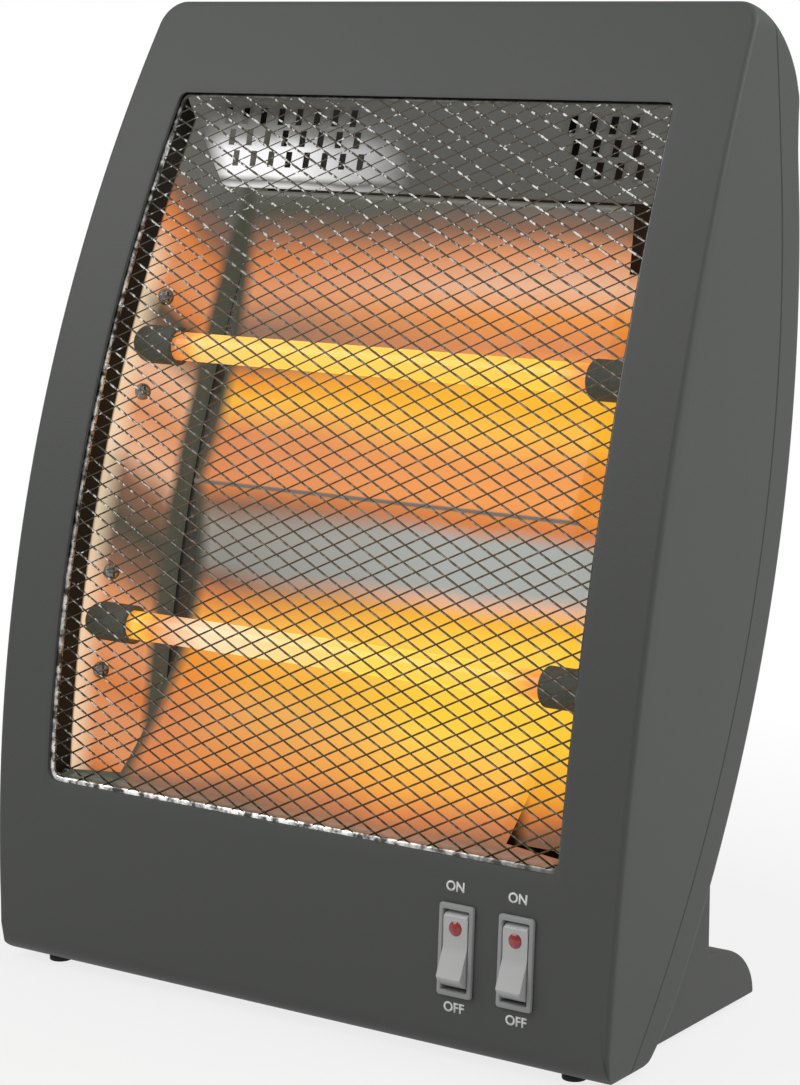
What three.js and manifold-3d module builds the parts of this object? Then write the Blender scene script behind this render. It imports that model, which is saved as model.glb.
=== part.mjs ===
// Halogen heater: a leaning tabletop radiant heater with two quartz tubes behind a mesh guard.
// Millimetres, +Z up. The heater faces -Y and +X is the switch side.
// Every function works in the body frame: y = 0 at the foremost line of the face, z = 0 on the floor.
// The last lines move the whole heater so that its bounding box is centred over the origin.

import * as THREE from "three";
import { mergeVertices } from "three/addons/utils/BufferGeometryUtils.js";
import Module from "manifold-3d";

const wasm = await Module();
wasm.setup();

// ---- Driving dimensions -------------------------------------------------------------------------

// Casing, seen from the side: the face is an arc. So is the back, from its depth at the casing's floor
// up to where it stands upright.
const overallHeight = 375.5;
const bodyDepth = 133;
const floorClearance = 2.6;
const faceRadius = 700;
const faceCentreHeight = 4;
const backFloorDepth = 35.574;
const backUpright = 63.5;
const backCentreHeight = overallHeight - backUpright;
const backDrop = backCentreHeight - floorClearance;
const backSagitta = bodyDepth - backFloorDepth;
const backRadius = (backDrop ** 2 + backSagitta ** 2) / (2 * backSagitta);
const topEdgeRadius = 29;
const frontHeelRadius = 10;
const backHeelRadius = 8;

// Casing, seen from the front: the sides bow outwards.
const halfWidthBottom = 138.8;
const halfWidthMiddle = 142.5;
const halfWidthTop = 134.2;
const bottomCornerRadius = 4;
const topCornerRadius = 10;
const wall = 2.6;
const coverDepth = 16;
const gap = 0.3;

// Window in the face. s is measured along the face, up from the arc's lowest line.
const windowBottom = 71.6;
const topBezel = 41.6;
const windowTop = alongFace(overallHeight) - topBezel;
const sideBezel = 25.4;
const guardRecess = 1.4;
const guardThickness = 1.2;
const guardBorder = 7;
const guardRim = 3;
const meshColumns = 6;
const meshRows = 8;
const strandWidth = 2.6;
const strandSlope = 0.45;

// Quartz tubes, by height along the face from the window's edges.
const lowerTubeRise = 64;
const upperTubeDrop = 100.2;
const tubeHeights = { lower: windowBottom + lowerTubeRise, upper: windowTop - upperTubeDrop };
const tubeDepth = 19.5;
const tubeRadius = 5.6;
const tubeWall = 1.1;

// Reflectors, by depth behind the face.
const sheet = 0.9;
const sideLipInset = 2.3;
const sideLipDepth = 9;
const sideLipHalfWidth = windowHalfWidthAt(windowTop) - sideLipInset;
const sideFlare = 18;
const sideBackDepth = 46;
const sideSlope = sideFlare / (sideBackDepth - sideLipDepth);
const flangeWidth = 4.5;
const flangeRun = 2;
const sheetEndMargin = 4;
const troughMargin = 3;
const troughHalfWidth = sideLipHalfWidth - sideFlare - troughMargin;
const troughDepth = 42.4;
const bottomLip = 6;
const ridgeDepth = 35.7;
const ridgeRise = 4.9;
const ridgeHeight = (tubeHeights.lower + tubeHeights.upper) / 2 + ridgeRise;
const foldDepth = 28.3;
const foldDrop = 27.1;
const foldHeight = windowTop - foldDrop;
const shieldDrop = 22.9;
const shieldTop = foldHeight - shieldDrop;
const shieldBottom = windowBottom - 2 * gap - sheet;
const shieldMargin = 9;
const shieldHalfWidth = sideLipHalfWidth - sideFlare + shieldMargin;
const ventColumns = 8;
const ventRows = 3;
const ventInset = 17;
const ventRise = 6;
const ventPitch = 8.6;
const ventRowPitch = 6.6;
const ventWidth = 3.4;
const ventLength = 5.2;
const ventSlant = 0.5;

// Tube ends, their ceramic holders and the heating coils.
const tubeEndClearance = 1.9;
const tubeHalfLength = panelHalfWidth(tubeDepth) - tubeEndClearance;
const capOverlap = 8;
const capReach = tubeHalfLength - capOverlap;
const pocketLip = 5;
const capRadius = 7.6;
const holderHalfHeight = 27;
const holderHalfWidth = 9;
const holderThickness = 6;
const holderScrewSpacing = 20;
const coilWireRadius = 0.55;
const coilTurns = 13;
const coilMargin = 12;
const coilHalfLength = tubeHalfLength - coilMargin;
const coilTail = 4;
const coilLead = 2;

// Rocker switches in the lower bezel.
const switchHeight = 42.3;
const switchPlaces = { left: 76.4, right: 101.4 };
const frameWidth = 14.6;
const frameLength = 33.8;
const frameStand = 1.4;
const frameSeatGap = 0.1;
const housingWidth = 12.4;
const housingLength = 31.6;
const housingDepth = 19;
const switchOpeningWidth = 10.8;
const rockerWidth = 10.2;
const rockerRadius = 14.4;
const rockerPivotDepth = 5;
const switchOpeningDepth = 11;
const rockerNose = 6.4;
const rockerRise = 2.2;
const rockerTilt = THREE.MathUtils.degToRad(10);
const rockerPinRadius = 1.4;
const lensRadius = 3;
const lensOffset = 7;
const lensLength = 2.6;

// Feet, pads and fasteners.
const footInset = 20.1;
const footMiddle = halfWidthBottom - footInset;
const footWidth = 22;
const footPostHeight = 98;
const footPostStand = 2.2;
const footPostDepth = backDepthAt(footPostHeight) + footPostStand;
const footToe = 36;
const footToeDepth = footPostDepth + footToe;
const footToeHeight = 27;
const footFrontStand = 12.4;
const footFrontDepth = backDepthAt(floorClearance) + footFrontStand;
const footTrim = 10;
const footScrewSeat = 9;
const padInset = 9;
const padEdge = 0.4;
const padRadius = 4.5;
const padPegRadius = 2.2;
const padPegLength = 2.6;
const bossRadius = 4.6;
const screwHeadRadius = 3.4;
const screwHeadHeight = 2.4;
const screwHeadEdge = 1;
const screwShankRadius = 1.6;
const screwSeat = 4;
const screwBite = { foot: 9, cover: 12 };
const pilotDepth = 16;
const footBossLength = 13;
const footScrewHeights = [42, 74];
const topScrewDrop = 30.5;
const bottomScrewHeight = 22;
const coverScrewPlaces = { top: overallHeight - topScrewDrop, bottom: bottomScrewHeight };
const bossInset = 9.4;

// Back cover fittings.
const gripHalfWidth = 46;
const gripDrop = 50.5;
const gripHeight = 25;
const gripTop = overallHeight - gripDrop;
const gripBottom = gripTop - gripHeight;
const gripDepth = 17;
const backVentHalfWidth = 24;
const backVentHeight = 4;
const backVentPitch = 10;
const backVentColumns = 3;
const backVentSpacing = 6;
const backVentRows = { upper: 5, lower: 3 };
const upperVentDrop = 78;
const lowerVentHeight = 98;
const backVentBottoms = { upper: gripBottom - upperVentDrop, lower: lowerVentHeight };
const bushPlace = -70;
const bushHeight = 34;
const bushRadius = 7.5;
const bushSleeveRadius = 5.7;
const bushSeatRadius = 9.5;
const bushStand = 6;
const bushBore = 3.6;
const bushSeatDepth = 15;

// Tip-over switch and electrical pieces.
const tipInset = 8.6;
const tipDepth = backDepthAt(floorClearance) - tipInset;
const plungerRadius = 4;
const plungerCollarRadius = 5.6;
const plungerTravel = 8;
const plungerRest = 0.4;
const plungerLength = 19.4;
const plungerCollarHeight = 2;
const plungerStemRadius = 2;
const plungerTipEdge = 1;
const tipBody = { width: 20, depth: 10, height: 13 };
const blockBody = { width: 34, depth: 12, height: 16 };
const blockSeatSize = { width: 24, height: 10 };
const blockPlace = -36;
const blockHeight = 34;
const seatLand = 1.2;
const cutoutRadius = 8.5;
const cutoutHeight = 9;
const cutoutDrop = 5.6;
const cutoutPlace = { x: -40, s: tubeHeights.lower - cutoutDrop };
const cutoutEars = { reach: 4, thickness: 1.2 };
const wireRadius = 1.2;
const plugDepth = 4;
const straightRun = 6;
const blockSockets = [-10, 0, 10];
const tipSockets = [-6, 6];
const cutoutSockets = [-4, 4];
const switchSockets = { link: -9, input: 0, output: 9 };

// How far cutting bodies reach past what they cut.
const beyond = 20;

// ---- Materials ----------------------------------------------------------------------------------

const finishes = {
  casing: { color: 0x4c4f50, roughness: 0.62, metalness: 0 },
  guard: { color: 0xb9b9b6, roughness: 0.3, metalness: 1 },
  reflector: { color: 0xd8d4cc, roughness: 0.16, metalness: 1 },
  steel: { color: 0x8f9192, roughness: 0.45, metalness: 1 },
  quartz: { color: 0xf4e2b8, roughness: 0.08, metalness: 0 },
  element: { color: 0xffb347, roughness: 0.5, metalness: 0.6, emissive: 0xff9a2e },
  ceramic: { color: 0x6d726a, roughness: 0.8, metalness: 0 },
  switchGrey: { color: 0x9a9c9d, roughness: 0.5, metalness: 0 },
  lens: { color: 0xd4140c, roughness: 0.15, metalness: 0, emissive: 0xc01008 },
  black: { color: 0x1b1c1d, roughness: 0.6, metalness: 0 },
  rubber: { color: 0x141414, roughness: 0.9, metalness: 0 },
  insulation: { color: 0xd9d4c6, roughness: 0.7, metalness: 0 },
};

// ---- Frames and outlines ------------------------------------------------------------------------

// A place on the face: x across, s along the arc, depth square to the face and inwards.
function onFace(x, s, depth = 0) {
  const angle = s / faceRadius;
  const radius = faceRadius - depth;
  const depthInside = faceRadius - radius * Math.cos(angle);
  return new THREE.Vector3(x, depthInside, faceCentreHeight + radius * Math.sin(angle));
}

// Height above the floor of a place on the face, and the other way round.
function heightOnFace(s) {
  return onFace(0, s).z;
}

function alongFace(height) {
  return faceRadius * Math.asin((height - faceCentreHeight) / faceRadius);
}

// Half width of the casing at a height: a parabola through its three widths.
function halfWidthAt(height, inset = 0) {
  const t = height / overallHeight;
  const chord = halfWidthBottom + (halfWidthTop - halfWidthBottom) * t;
  const bow = halfWidthMiddle - (halfWidthBottom + halfWidthTop) / 2;
  return chord + 4 * t * (1 - t) * bow - inset;
}

// Depth of the casing's back at a height.
function backDepthAt(height, inset = 0) {
  const radius = backRadius - inset;
  const drop = Math.min(height, backCentreHeight) - backCentreHeight;
  return bodyDepth - backRadius + Math.sqrt(radius * radius - drop * drop);
}

function arcPoints(centreX, centreY, radius, from, to, steps) {
  const points = [];
  for (let i = 0; i <= steps; i += 1) {
    const angle = from + ((to - from) * i) / steps;
    points.push(new THREE.Vector2(centreX + radius * Math.cos(angle), centreY + radius * Math.sin(angle)));
  }
  return points;
}

// Top of the casing from the side, front to back: the top edge's arc from where it crosses the face's
// arc, or a flat top ahead of it where the face reaches the full height first.
function topOutline(inset) {
  const centre = new THREE.Vector2(bodyDepth - topEdgeRadius, overallHeight - topEdgeRadius);
  const towardsFace = new THREE.Vector2(faceRadius, faceCentreHeight).sub(centre);
  const distance = towardsFace.length();
  const top = topEdgeRadius - inset;
  const face = faceRadius - inset;
  const cosine = (distance * distance + top * top - face * face) / (2 * distance * top);
  const crossing = towardsFace.angle() - 2 * Math.PI + Math.acos(Math.max(cosine, -1));
  const arc = arcPoints(centre.x, centre.y, top, Math.min(crossing, Math.PI / 2), 0, 6);
  if (crossing <= Math.PI / 2) {
    return arc;
  }
  const high = overallHeight - inset;
  const run = Math.sqrt(face * face - (high - faceCentreHeight) ** 2);
  return [new THREE.Vector2(faceRadius - run, high), ...arc];
}

// Side view of the casing in (depth, height), shrunk by an inset.
function sideOutline(inset) {
  const floor = floorClearance + inset;
  const heel = floorClearance + frontHeelRadius;
  const top = topOutline(inset);
  const faceStart = Math.PI - Math.asin((heel - faceCentreHeight) / (faceRadius - inset));
  const faceEnd = Math.atan2(top[0].y - faceCentreHeight, top[0].x - faceRadius);
  const heelZ = floor + backHeelRadius;
  const backEnd = Math.asin((heelZ - backCentreHeight) / (backRadius - inset));
  const cornerY = backDepthAt(floor, inset);
  const outline = [
    ...arcPoints(frontHeelRadius, heel, frontHeelRadius - inset, 1.5 * Math.PI, 1.1 * Math.PI, 4),
    ...arcPoints(faceRadius, faceCentreHeight, faceRadius - inset, faceStart, faceEnd, 14),
    ...top.slice(1),
    ...arcPoints(bodyDepth - backRadius, backCentreHeight, backRadius - inset, 0, backEnd, 9),
    new THREE.Vector2(cornerY - backHeelRadius / 4, floor + backHeelRadius / 4),
    new THREE.Vector2(cornerY - backHeelRadius, floor),
  ];
  return outline;
}

// Front view of the casing in (x, height), shrunk by an inset.
function frontOutline(inset) {
  const low = floorClearance + inset;
  const high = overallHeight - inset;
  const bottom = bottomCornerRadius - inset;
  const top = topCornerRadius - inset;
  const right = [];
  for (const angle of [-Math.PI / 2, -Math.PI / 3, -Math.PI / 6]) {
    const x = halfWidthAt(low + bottom, inset) - bottom + bottom * Math.cos(angle);
    right.push(new THREE.Vector2(x, low + bottom + bottom * Math.sin(angle)));
  }
  const sideSteps = 10;
  for (let i = 0; i <= sideSteps; i += 1) {
    const height = low + bottom + ((high - low - bottom - top) * i) / sideSteps;
    right.push(new THREE.Vector2(halfWidthAt(height, inset), height));
  }
  for (const angle of [Math.PI / 6, Math.PI / 3, Math.PI / 2]) {
    const x = halfWidthAt(high - top, inset) - top + top * Math.cos(angle);
    right.push(new THREE.Vector2(x, high - top + top * Math.sin(angle)));
  }
  const left = right.map((point) => new THREE.Vector2(-point.x, point.y)).reverse();
  return [...right, ...left];
}

// ---- Solids -------------------------------------------------------------------------------------

function solid(geometry) {
  const bare = geometry.clone();
  bare.deleteAttribute("normal");
  bare.deleteAttribute("uv");
  const merged = mergeVertices(bare, 1e-4);
  const vertProperties = new Float32Array(merged.attributes.position.array);
  const triVerts = new Uint32Array(merged.index.array);
  return new wasm.Manifold(new wasm.Mesh({ numProp: 3, vertProperties, triVerts }));
}

function join(first, ...others) {
  return others.reduce((sum, other) => sum.add(other), first);
}

function cut(first, ...others) {
  return others.reduce((rest, other) => rest.subtract(other), first);
}

function toGeometry(manifold) {
  const mesh = manifold.getMesh();
  const geometry = new THREE.BufferGeometry();
  geometry.setAttribute("position", new THREE.BufferAttribute(new Float32Array(mesh.vertProperties), 3));
  geometry.setIndex(new THREE.BufferAttribute(new Uint32Array(mesh.triVerts), 1));
  return geometry;
}

function extrude(points, depth, holes = []) {
  const shape = new THREE.Shape(points);
  shape.holes = holes.map((hole) => new THREE.Path(hole));
  return new THREE.ExtrudeGeometry(shape, { depth, bevelEnabled: false, steps: 1 });
}

// A (depth, height) outline drawn out across X.
function acrossX(points, from, to) {
  const turn = new THREE.Matrix4().makeBasis(
    new THREE.Vector3(0, 1, 0), new THREE.Vector3(0, 0, 1), new THREE.Vector3(1, 0, 0));
  return extrude(points, to - from).applyMatrix4(turn).translate(from, 0, 0);
}

// An (x, height) outline drawn out along Y.
function alongY(points, from, to) {
  return extrude(points, to - from).rotateX(Math.PI / 2).translate(0, to, 0);
}

function box(x0, x1, y0, y1, z0, z1) {
  const geometry = new THREE.BoxGeometry(x1 - x0, y1 - y0, z1 - z0);
  return geometry.translate((x0 + x1) / 2, (y0 + y1) / 2, (z0 + z1) / 2);
}

// A round bar along Y.
function barY(x, z, radius, y0, y1, sides = 16) {
  return new THREE.CylinderGeometry(radius, radius, y1 - y0, sides).translate(x, (y0 + y1) / 2, z);
}

// A round bar along X, between two ends given in either order.
function barX(y, z, radius, x0, x1, sides = 16) {
  const bar = new THREE.CylinderGeometry(radius, radius, Math.abs(x1 - x0), sides).rotateZ(Math.PI / 2);
  return bar.translate((x0 + x1) / 2, y, z);
}

// A curved sheet: a (depth, s) outline bent to the face's arc and drawn out across X.
function faceProfile(points, halfWidth) {
  const bent = points.map(([depth, s]) => {
    const place = onFace(0, s, depth);
    return new THREE.Vector2(place.y, place.z);
  });
  return acrossX(bent, -halfWidth, halfWidth);
}

// A layer that follows the face between two depths, through a list of places along the face.
function layerThrough(near, far, stations, halfWidth) {
  const nearLine = stations.map((s) => [near, s]);
  const farLine = stations.map((s) => [far, s]).reverse();
  return faceProfile([...nearLine, ...farLine], halfWidth);
}

function faceLayer(near, far, low, high, halfWidth) {
  const steps = 14;
  const stations = [...Array(steps + 1).keys()].map((i) => low + ((high - low) * i) / steps);
  return layerThrough(near, far, stations, halfWidth);
}

// An (x, depth) section swept along the face between two places, offset across with the casing's bow.
function faceSweep(section, low, high, side) {
  const steps = 12;
  const positions = [];
  for (let i = 0; i <= steps; i += 1) {
    const s = low + ((high - low) * i) / steps;
    const bow = windowHalfWidthAt(s) - windowHalfWidthAt(windowTop);
    for (const [x, depth] of section) {
      positions.push(...onFace(side * (x + bow), s, depth).toArray());
    }
  }
  return closedLoft(positions, section.length, steps + 1);
}

// Joins rings of points into one closed body with flat ends and its faces outwards.
function closedLoft(positions, ringSize, ringCount) {
  const index = [];
  const push = (a, b, c) => index.push(a, b, c);
  for (let ring = 0; ring < ringCount - 1; ring += 1) {
    for (let i = 0; i < ringSize; i += 1) {
      const a = ring * ringSize + i;
      const b = ring * ringSize + ((i + 1) % ringSize);
      push(a, b, b + ringSize);
      push(a, b + ringSize, a + ringSize);
    }
  }
  const last = (ringCount - 1) * ringSize;
  const cap = THREE.ShapeUtils.triangulateShape(capPoints(positions, ringSize), []);
  for (const [a, b, c] of cap) {
    push(a, c, b);
    push(last + a, last + b, last + c);
  }
  const geometry = new THREE.BufferGeometry();
  geometry.setAttribute("position", new THREE.Float32BufferAttribute(positions, 3));
  geometry.setIndex(signedVolume(positions, index) < 0 ? index.reverse() : index);
  return geometry;
}

function signedVolume(positions, index) {
  const corner = (i) => new THREE.Vector3().fromArray(positions, index[i] * 3);
  let volume = 0;
  for (let i = 0; i < index.length; i += 3) {
    volume += corner(i).dot(corner(i + 1).cross(corner(i + 2))) / 6;
  }
  return volume;
}

// The first ring flattened to its own plane, for its triangles.
function capPoints(positions, ringSize) {
  const ring = [];
  for (let i = 0; i < ringSize; i += 1) {
    ring.push(new THREE.Vector3().fromArray(positions, i * 3));
  }
  const normal = new THREE.Vector3();
  for (let i = 0; i < ringSize; i += 1) {
    normal.add(new THREE.Vector3().crossVectors(ring[i], ring[(i + 1) % ringSize]));
  }
  const across = ring[1].clone().sub(ring[0]).normalize();
  const up = new THREE.Vector3().crossVectors(normal, across).normalize();
  return ring.map((point) => new THREE.Vector2(point.dot(across), point.dot(up)));
}

function windowHalfWidthAt(s) {
  return halfWidthAt(heightOnFace(s), sideBezel);
}

// The window's outline in (x, height), grown by a margin.
function windowOutline(margin) {
  const low = heightOnFace(windowBottom - margin);
  const high = heightOnFace(windowTop + margin);
  const steps = 8;
  const right = [];
  for (let i = 0; i <= steps; i += 1) {
    const height = low + ((high - low) * i) / steps;
    right.push(new THREE.Vector2(halfWidthAt(height, sideBezel) + margin, height));
  }
  const left = right.map((point) => new THREE.Vector2(-point.x, point.y)).reverse();
  return [...right, ...left];
}

// ---- Model --------------------------------------------------------------------------------------

const heater = new THREE.Group();

function add(name, geometry, finish, place = {}) {
  const material = new THREE.MeshStandardMaterial(finishes[finish]);
  const shape = geometry instanceof THREE.BufferGeometry ? geometry : toGeometry(geometry);
  const mesh = new THREE.Mesh(shape, material);
  mesh.name = name;
  mesh.position.copy(place.position ?? new THREE.Vector3());
  mesh.rotation.set(...(place.rotation ?? [0, 0, 0]));
  heater.add(mesh);
  return mesh;
}

const reach = halfWidthMiddle + beyond;
const outerBody = solid(acrossX(sideOutline(0), -reach, reach))
  .intersect(solid(alongY(frontOutline(0), -beyond, bodyDepth + beyond)));
const innerBody = solid(acrossX(sideOutline(wall), -reach, reach))
  .intersect(solid(alongY(frontOutline(wall), -beyond, bodyDepth + beyond)));

// Everything in front of the seam, with the seam moved forward by an offset.
function beforeSeam(offset) {
  const inset = coverDepth + offset;
  const low = Math.asin((-beyond - backCentreHeight) / (backRadius - inset));
  const seam = arcPoints(bodyDepth - backRadius, backCentreHeight, backRadius - inset, low, 0, 12);
  const outline = [
    ...seam,
    new THREE.Vector2(bodyDepth - inset, overallHeight + beyond),
    new THREE.Vector2(-beyond, overallHeight + beyond),
    new THREE.Vector2(-beyond, seam[0].y),
  ];
  return solid(acrossX(outline, -reach - beyond, reach + beyond));
}

// The four casing bosses near the corners, as x and z pairs.
const casingBosses = [];
for (const height of Object.values(coverScrewPlaces)) {
  for (const side of [-1, 1]) {
    casingBosses.push({ x: side * halfWidthAt(height, bossInset), z: height, side });
  }
}

function screwBarrels(radius, from, to, sides = 12) {
  return casingBosses.map(({ x, z }) => solid(barY(x, z, radius, from(z), to(z), sides)));
}

const seamDepthAt = (height) => backDepthAt(height) - coverDepth;
const headSeatAt = (height) => backDepthAt(height) - wall - screwSeat;

// Front shell: bezel and side walls in one moulding, open at the back.
function frontShell() {
  const skin = outerBody.intersect(beforeSeam(0)).subtract(innerBody);
  const bosses = screwBarrels(bossRadius, () => wall / 2, (z) => seamDepthAt(z))
    .map((boss) => boss.intersect(outerBody).intersect(beforeSeam(0)));
  const windowCut = solid(alongY(windowOutline(0), -beyond, bodyDepth));
  const rebate = faceLayer(guardRecess, 2 * wall, windowBottom - beyond, windowTop + beyond, reach);
  const seatOutline = windowOutline(guardBorder + gap);
  const guardSeat = solid(rebate).intersect(solid(alongY(seatOutline, -beyond, bodyDepth)));
  const shell = join(skin, ...bosses);
  const pilotEnd = (z) => seamDepthAt(z) - pilotDepth;
  const pilots = screwBarrels(screwShankRadius + gap, pilotEnd, (z) => seamDepthAt(z) + beyond / 2, 8);
  const switchCuts = Object.values(switchPlaces).map((x) => {
    const half = { width: housingWidth / 2 + gap, length: housingLength / 2 + gap };
    const opening = box(-half.width, half.width, -beyond / 2, beyond / 2, -half.length, half.length);
    return solid(opening.applyMatrix4(faceMatrix(x, switchHeight)));
  });
  return cut(shell, windowCut, guardSeat, ...pilots, ...switchCuts);
}

// The frame of a fitting on the face: local Y points inwards and local Z up along the face.
function faceMatrix(x, height) {
  const s = alongFace(height);
  return new THREE.Matrix4().makeRotationX(-s / faceRadius).setPosition(onFace(x, s));
}

function facePlace(x, height) {
  const s = alongFace(height);
  return { position: onFace(x, s), rotation: [-s / faceRadius, 0, 0] };
}

const gripFloorDepth = bodyDepth - gripDepth;

// Vent slots through the back wall, in an upper and a lower group.
function backVents() {
  const cuts = [];
  const upper = [...Array(backVentRows.upper).keys()].map((i) => backVentBottoms.upper + i * backVentPitch);
  const lower = [...Array(backVentRows.lower).keys()].map((i) => backVentBottoms.lower + i * backVentPitch);
  for (const z of [...upper, ...lower]) {
    for (let column = 0; column < backVentColumns; column += 1) {
      const x = (column - (backVentColumns - 1) / 2) * (2 * backVentHalfWidth + backVentSpacing);
      const y = backDepthAt(z);
      cuts.push(solid(box(x - backVentHalfWidth, x + backVentHalfWidth, y - beyond / 2, y + beyond / 2,
        z - backVentHeight / 2, z + backVentHeight / 2)));
    }
  }
  return cuts;
}

const sides = { left: -1, right: 1 };

const blockFrontDepth = backDepthAt(blockHeight - blockBody.height / 2, wall) - seatLand;
const bushFace = backDepthAt(bushHeight + bushSeatRadius) + seatLand;
const bushInner = backDepthAt(bushHeight - bushSeatRadius, wall) - 2 * seatLand;
const tipFrontDepth = tipDepth + tipBody.depth / 2;
const tipBottom = plungerRest + plungerLength + gap;

// Back cover: the shallow tray that closes the casing, with its grip, vents and inner bosses.
function backCover() {
  const skin = cut(outerBody.subtract(innerBody), beforeSeam(-gap));
  const beyondSeam = cut(outerBody, beforeSeam(-gap));
  const gripWidth = gripHalfWidth + wall;
  const grip = solid(box(-gripWidth, gripWidth, gripFloorDepth - wall, bodyDepth - wall / 2,
    gripBottom - wall, gripTop + wall));
  const bosses = screwBarrels(bossRadius, (z) => seamDepthAt(z) - wall, (z) => backDepthAt(z) + wall)
    .map((boss) => boss.intersect(beyondSeam));
  const footBosses = [];
  const footBores = [];
  for (const side of Object.values(sides)) {
    for (const z of footScrewHeights) {
      const x = side * footMiddle;
      const y = backDepthAt(z);
      footBosses.push(solid(barY(x, z, bossRadius, y - footBossLength, y, 12)).intersect(outerBody));
      footBores.push(solid(barY(x, z, screwShankRadius + gap, y - screwBite.foot - 2, y + beyond, 8)));
    }
  }
  const seatHalf = { width: blockSeatSize.width / 2, height: blockSeatSize.height / 2 };
  const blockSeat = solid(box(blockPlace - seatHalf.width, blockPlace + seatHalf.width,
    blockFrontDepth, bodyDepth, blockHeight - seatHalf.height, blockHeight + seatHalf.height));
  const tipSeatHalf = tipBody.width / 2 - wall;
  const tipSeat = solid(box(-tipSeatHalf, tipSeatHalf, tipFrontDepth + gap, bodyDepth,
    tipBottom + wall, tipBottom + tipBody.height - wall));
  const seats = join(blockSeat, tipSeat).intersect(outerBody);
  const barrels = screwBarrels(screwShankRadius + gap, () => 0, () => bodyDepth + 5, 8);
  const counterbores = screwBarrels(screwHeadRadius + gap, headSeatAt, () => bodyDepth + 5, 12);
  const plungerBore = new THREE.CylinderGeometry(plungerRadius + gap, plungerRadius + gap, 3 * wall, 16);
  plungerBore.rotateX(Math.PI / 2).translate(0, tipDepth, floorClearance + wall / 2);
  const plungerHole = solid(plungerBore);
  const bushSeat = cut(solid(barY(bushPlace, bushHeight, bushSeatRadius, 0, bushFace, 16)), innerBody);
  const bushHole = solid(barY(bushPlace, bushHeight, bushSleeveRadius + gap, 0, bushFace + beyond, 16));
  const gripCut = solid(box(-gripHalfWidth, gripHalfWidth, gripFloorDepth, bodyDepth + beyond,
    gripBottom, gripTop));
  const clear = solid(box(-reach, reach, -beyond, bushFace - bushSeatDepth, -beyond, overallHeight));
  const whole = join(skin, grip, ...bosses, ...footBosses, seats, bushSeat.subtract(clear));
  const holes = [...barrels, ...counterbores, ...footBores, plungerHole, bushHole, gripCut];
  return cut(whole, ...holes, ...backVents());
}

// Guard: a net of diamonds with a rim, bent to the face's arc. It seats in the rebate behind the bezel.
function guard() {
  const netLow = windowBottom + guardRim;
  const pitchS = (windowTop - guardRim - netLow) / meshRows;
  const near = guardRecess + gap;
  const far = near + guardThickness;
  const rows = [...Array(meshRows + 1).keys()].map((i) => netLow + i * pitchS);
  const stations = [windowBottom - 2 * guardBorder, ...rows, windowTop + 2 * guardBorder];
  const plate = solid(layerThrough(near, far, stations, reach))
    .intersect(solid(alongY(windowOutline(guardBorder), -beyond, bodyDepth)));
  const holes = [];
  for (let row = 0; row < 2 * meshRows - 1; row += 1) {
    const s = netLow + ((row + 1) * pitchS) / 2;
    const pitchX = (2 * (windowHalfWidthAt(s) - guardRim)) / meshColumns;
    const columns = row % 2 === 0 ? meshColumns : meshColumns - 1;
    const w = pitchX / 2 - strandWidth * (1 - strandSlope);
    const h = pitchS / 2 - strandWidth * strandSlope;
    for (let column = 0; column < columns; column += 1) {
      const x = (column - (columns - 1) / 2) * pitchX;
      holes.push(facePrism([[x - w, s], [x, s - h], [x + w, s], [x, s + h]], near - gap, far + gap));
    }
  }
  return cut(plate, ...holes);
}

// An (x, s) outline drawn out square to the face between two depths.
function facePrism(corners, near, far) {
  const ring = (depth) => corners.flatMap(([x, s]) => onFace(x, s, depth).toArray());
  const positions = [...ring(near), ...ring(far)];
  return solid(closedLoft(positions, corners.length, 2));
}

const flangeDepth = guardRecess + guardThickness + 2 * gap;
const flangeOuter = sideLipHalfWidth + flangeRun + flangeWidth;

// The side panel's inner line: half width at a depth, at the window's top.
function panelHalfWidth(depth) {
  return sideLipHalfWidth - (depth - sideLipDepth) * sideSlope;
}

// Section of a side panel in (x, depth): flange behind the guard, lip and flared wall.
function sideSection() {
  return [
    [panelHalfWidth(flangeDepth), flangeDepth],
    [flangeOuter, flangeDepth],
    [flangeOuter, flangeDepth + sheet],
    [panelHalfWidth(flangeDepth + sheet) + sheet, flangeDepth + sheet],
    [panelHalfWidth(sideBackDepth) + sheet, sideBackDepth],
    [panelHalfWidth(sideBackDepth), sideBackDepth],
  ];
}

// Everything beyond a side panel's inner face, kept clear of by the sheets between the panels.
function beyondPanel(side) {
  const back = sideBackDepth + beyond;
  const section = [
    [panelHalfWidth(0) - gap, 0],
    [reach + beyond, 0],
    [reach + beyond, back],
    [panelHalfWidth(back) - gap, back],
  ];
  return solid(faceSweep(section, windowBottom - beyond, windowTop + beyond, side));
}

// Half width between the side panels at a place along the face.
function betweenPanels(s, depth) {
  return panelHalfWidth(depth) + windowHalfWidthAt(s) - windowHalfWidthAt(windowTop);
}

// The frame of a side panel at a tube: local X is square to the wall and inwards, local Z up the wall.
function panelMatrix(side, s) {
  const onPanel = (place, depth) => onFace(side * betweenPanels(place, depth), place, depth);
  const middle = onPanel(s, tubeDepth);
  const up = onPanel(s + 1, tubeDepth).sub(middle).normalize();
  const back = onPanel(s, tubeDepth + 1).sub(middle);
  const inward = new THREE.Vector3().crossVectors(back, up).multiplyScalar(-side).normalize();
  const along = new THREE.Vector3().crossVectors(up, inward);
  return new THREE.Matrix4().makeBasis(inward, along, up).setPosition(middle);
}

// A bar along a frame's local X.
function frameBar(matrix, x0, x1, z, radius, sides) {
  return solid(barX(0, z, radius, x0, x1, sides).applyMatrix4(matrix));
}

function tubeCentre(name) {
  return onFace(0, tubeHeights[name], tubeDepth);
}

function tubeBar(name, radius, x0, x1, sides) {
  const centre = tubeCentre(name);
  return solid(barX(centre.y, centre.z, radius, x0, x1, sides));
}

const holderGap = 2 * gap;

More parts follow.
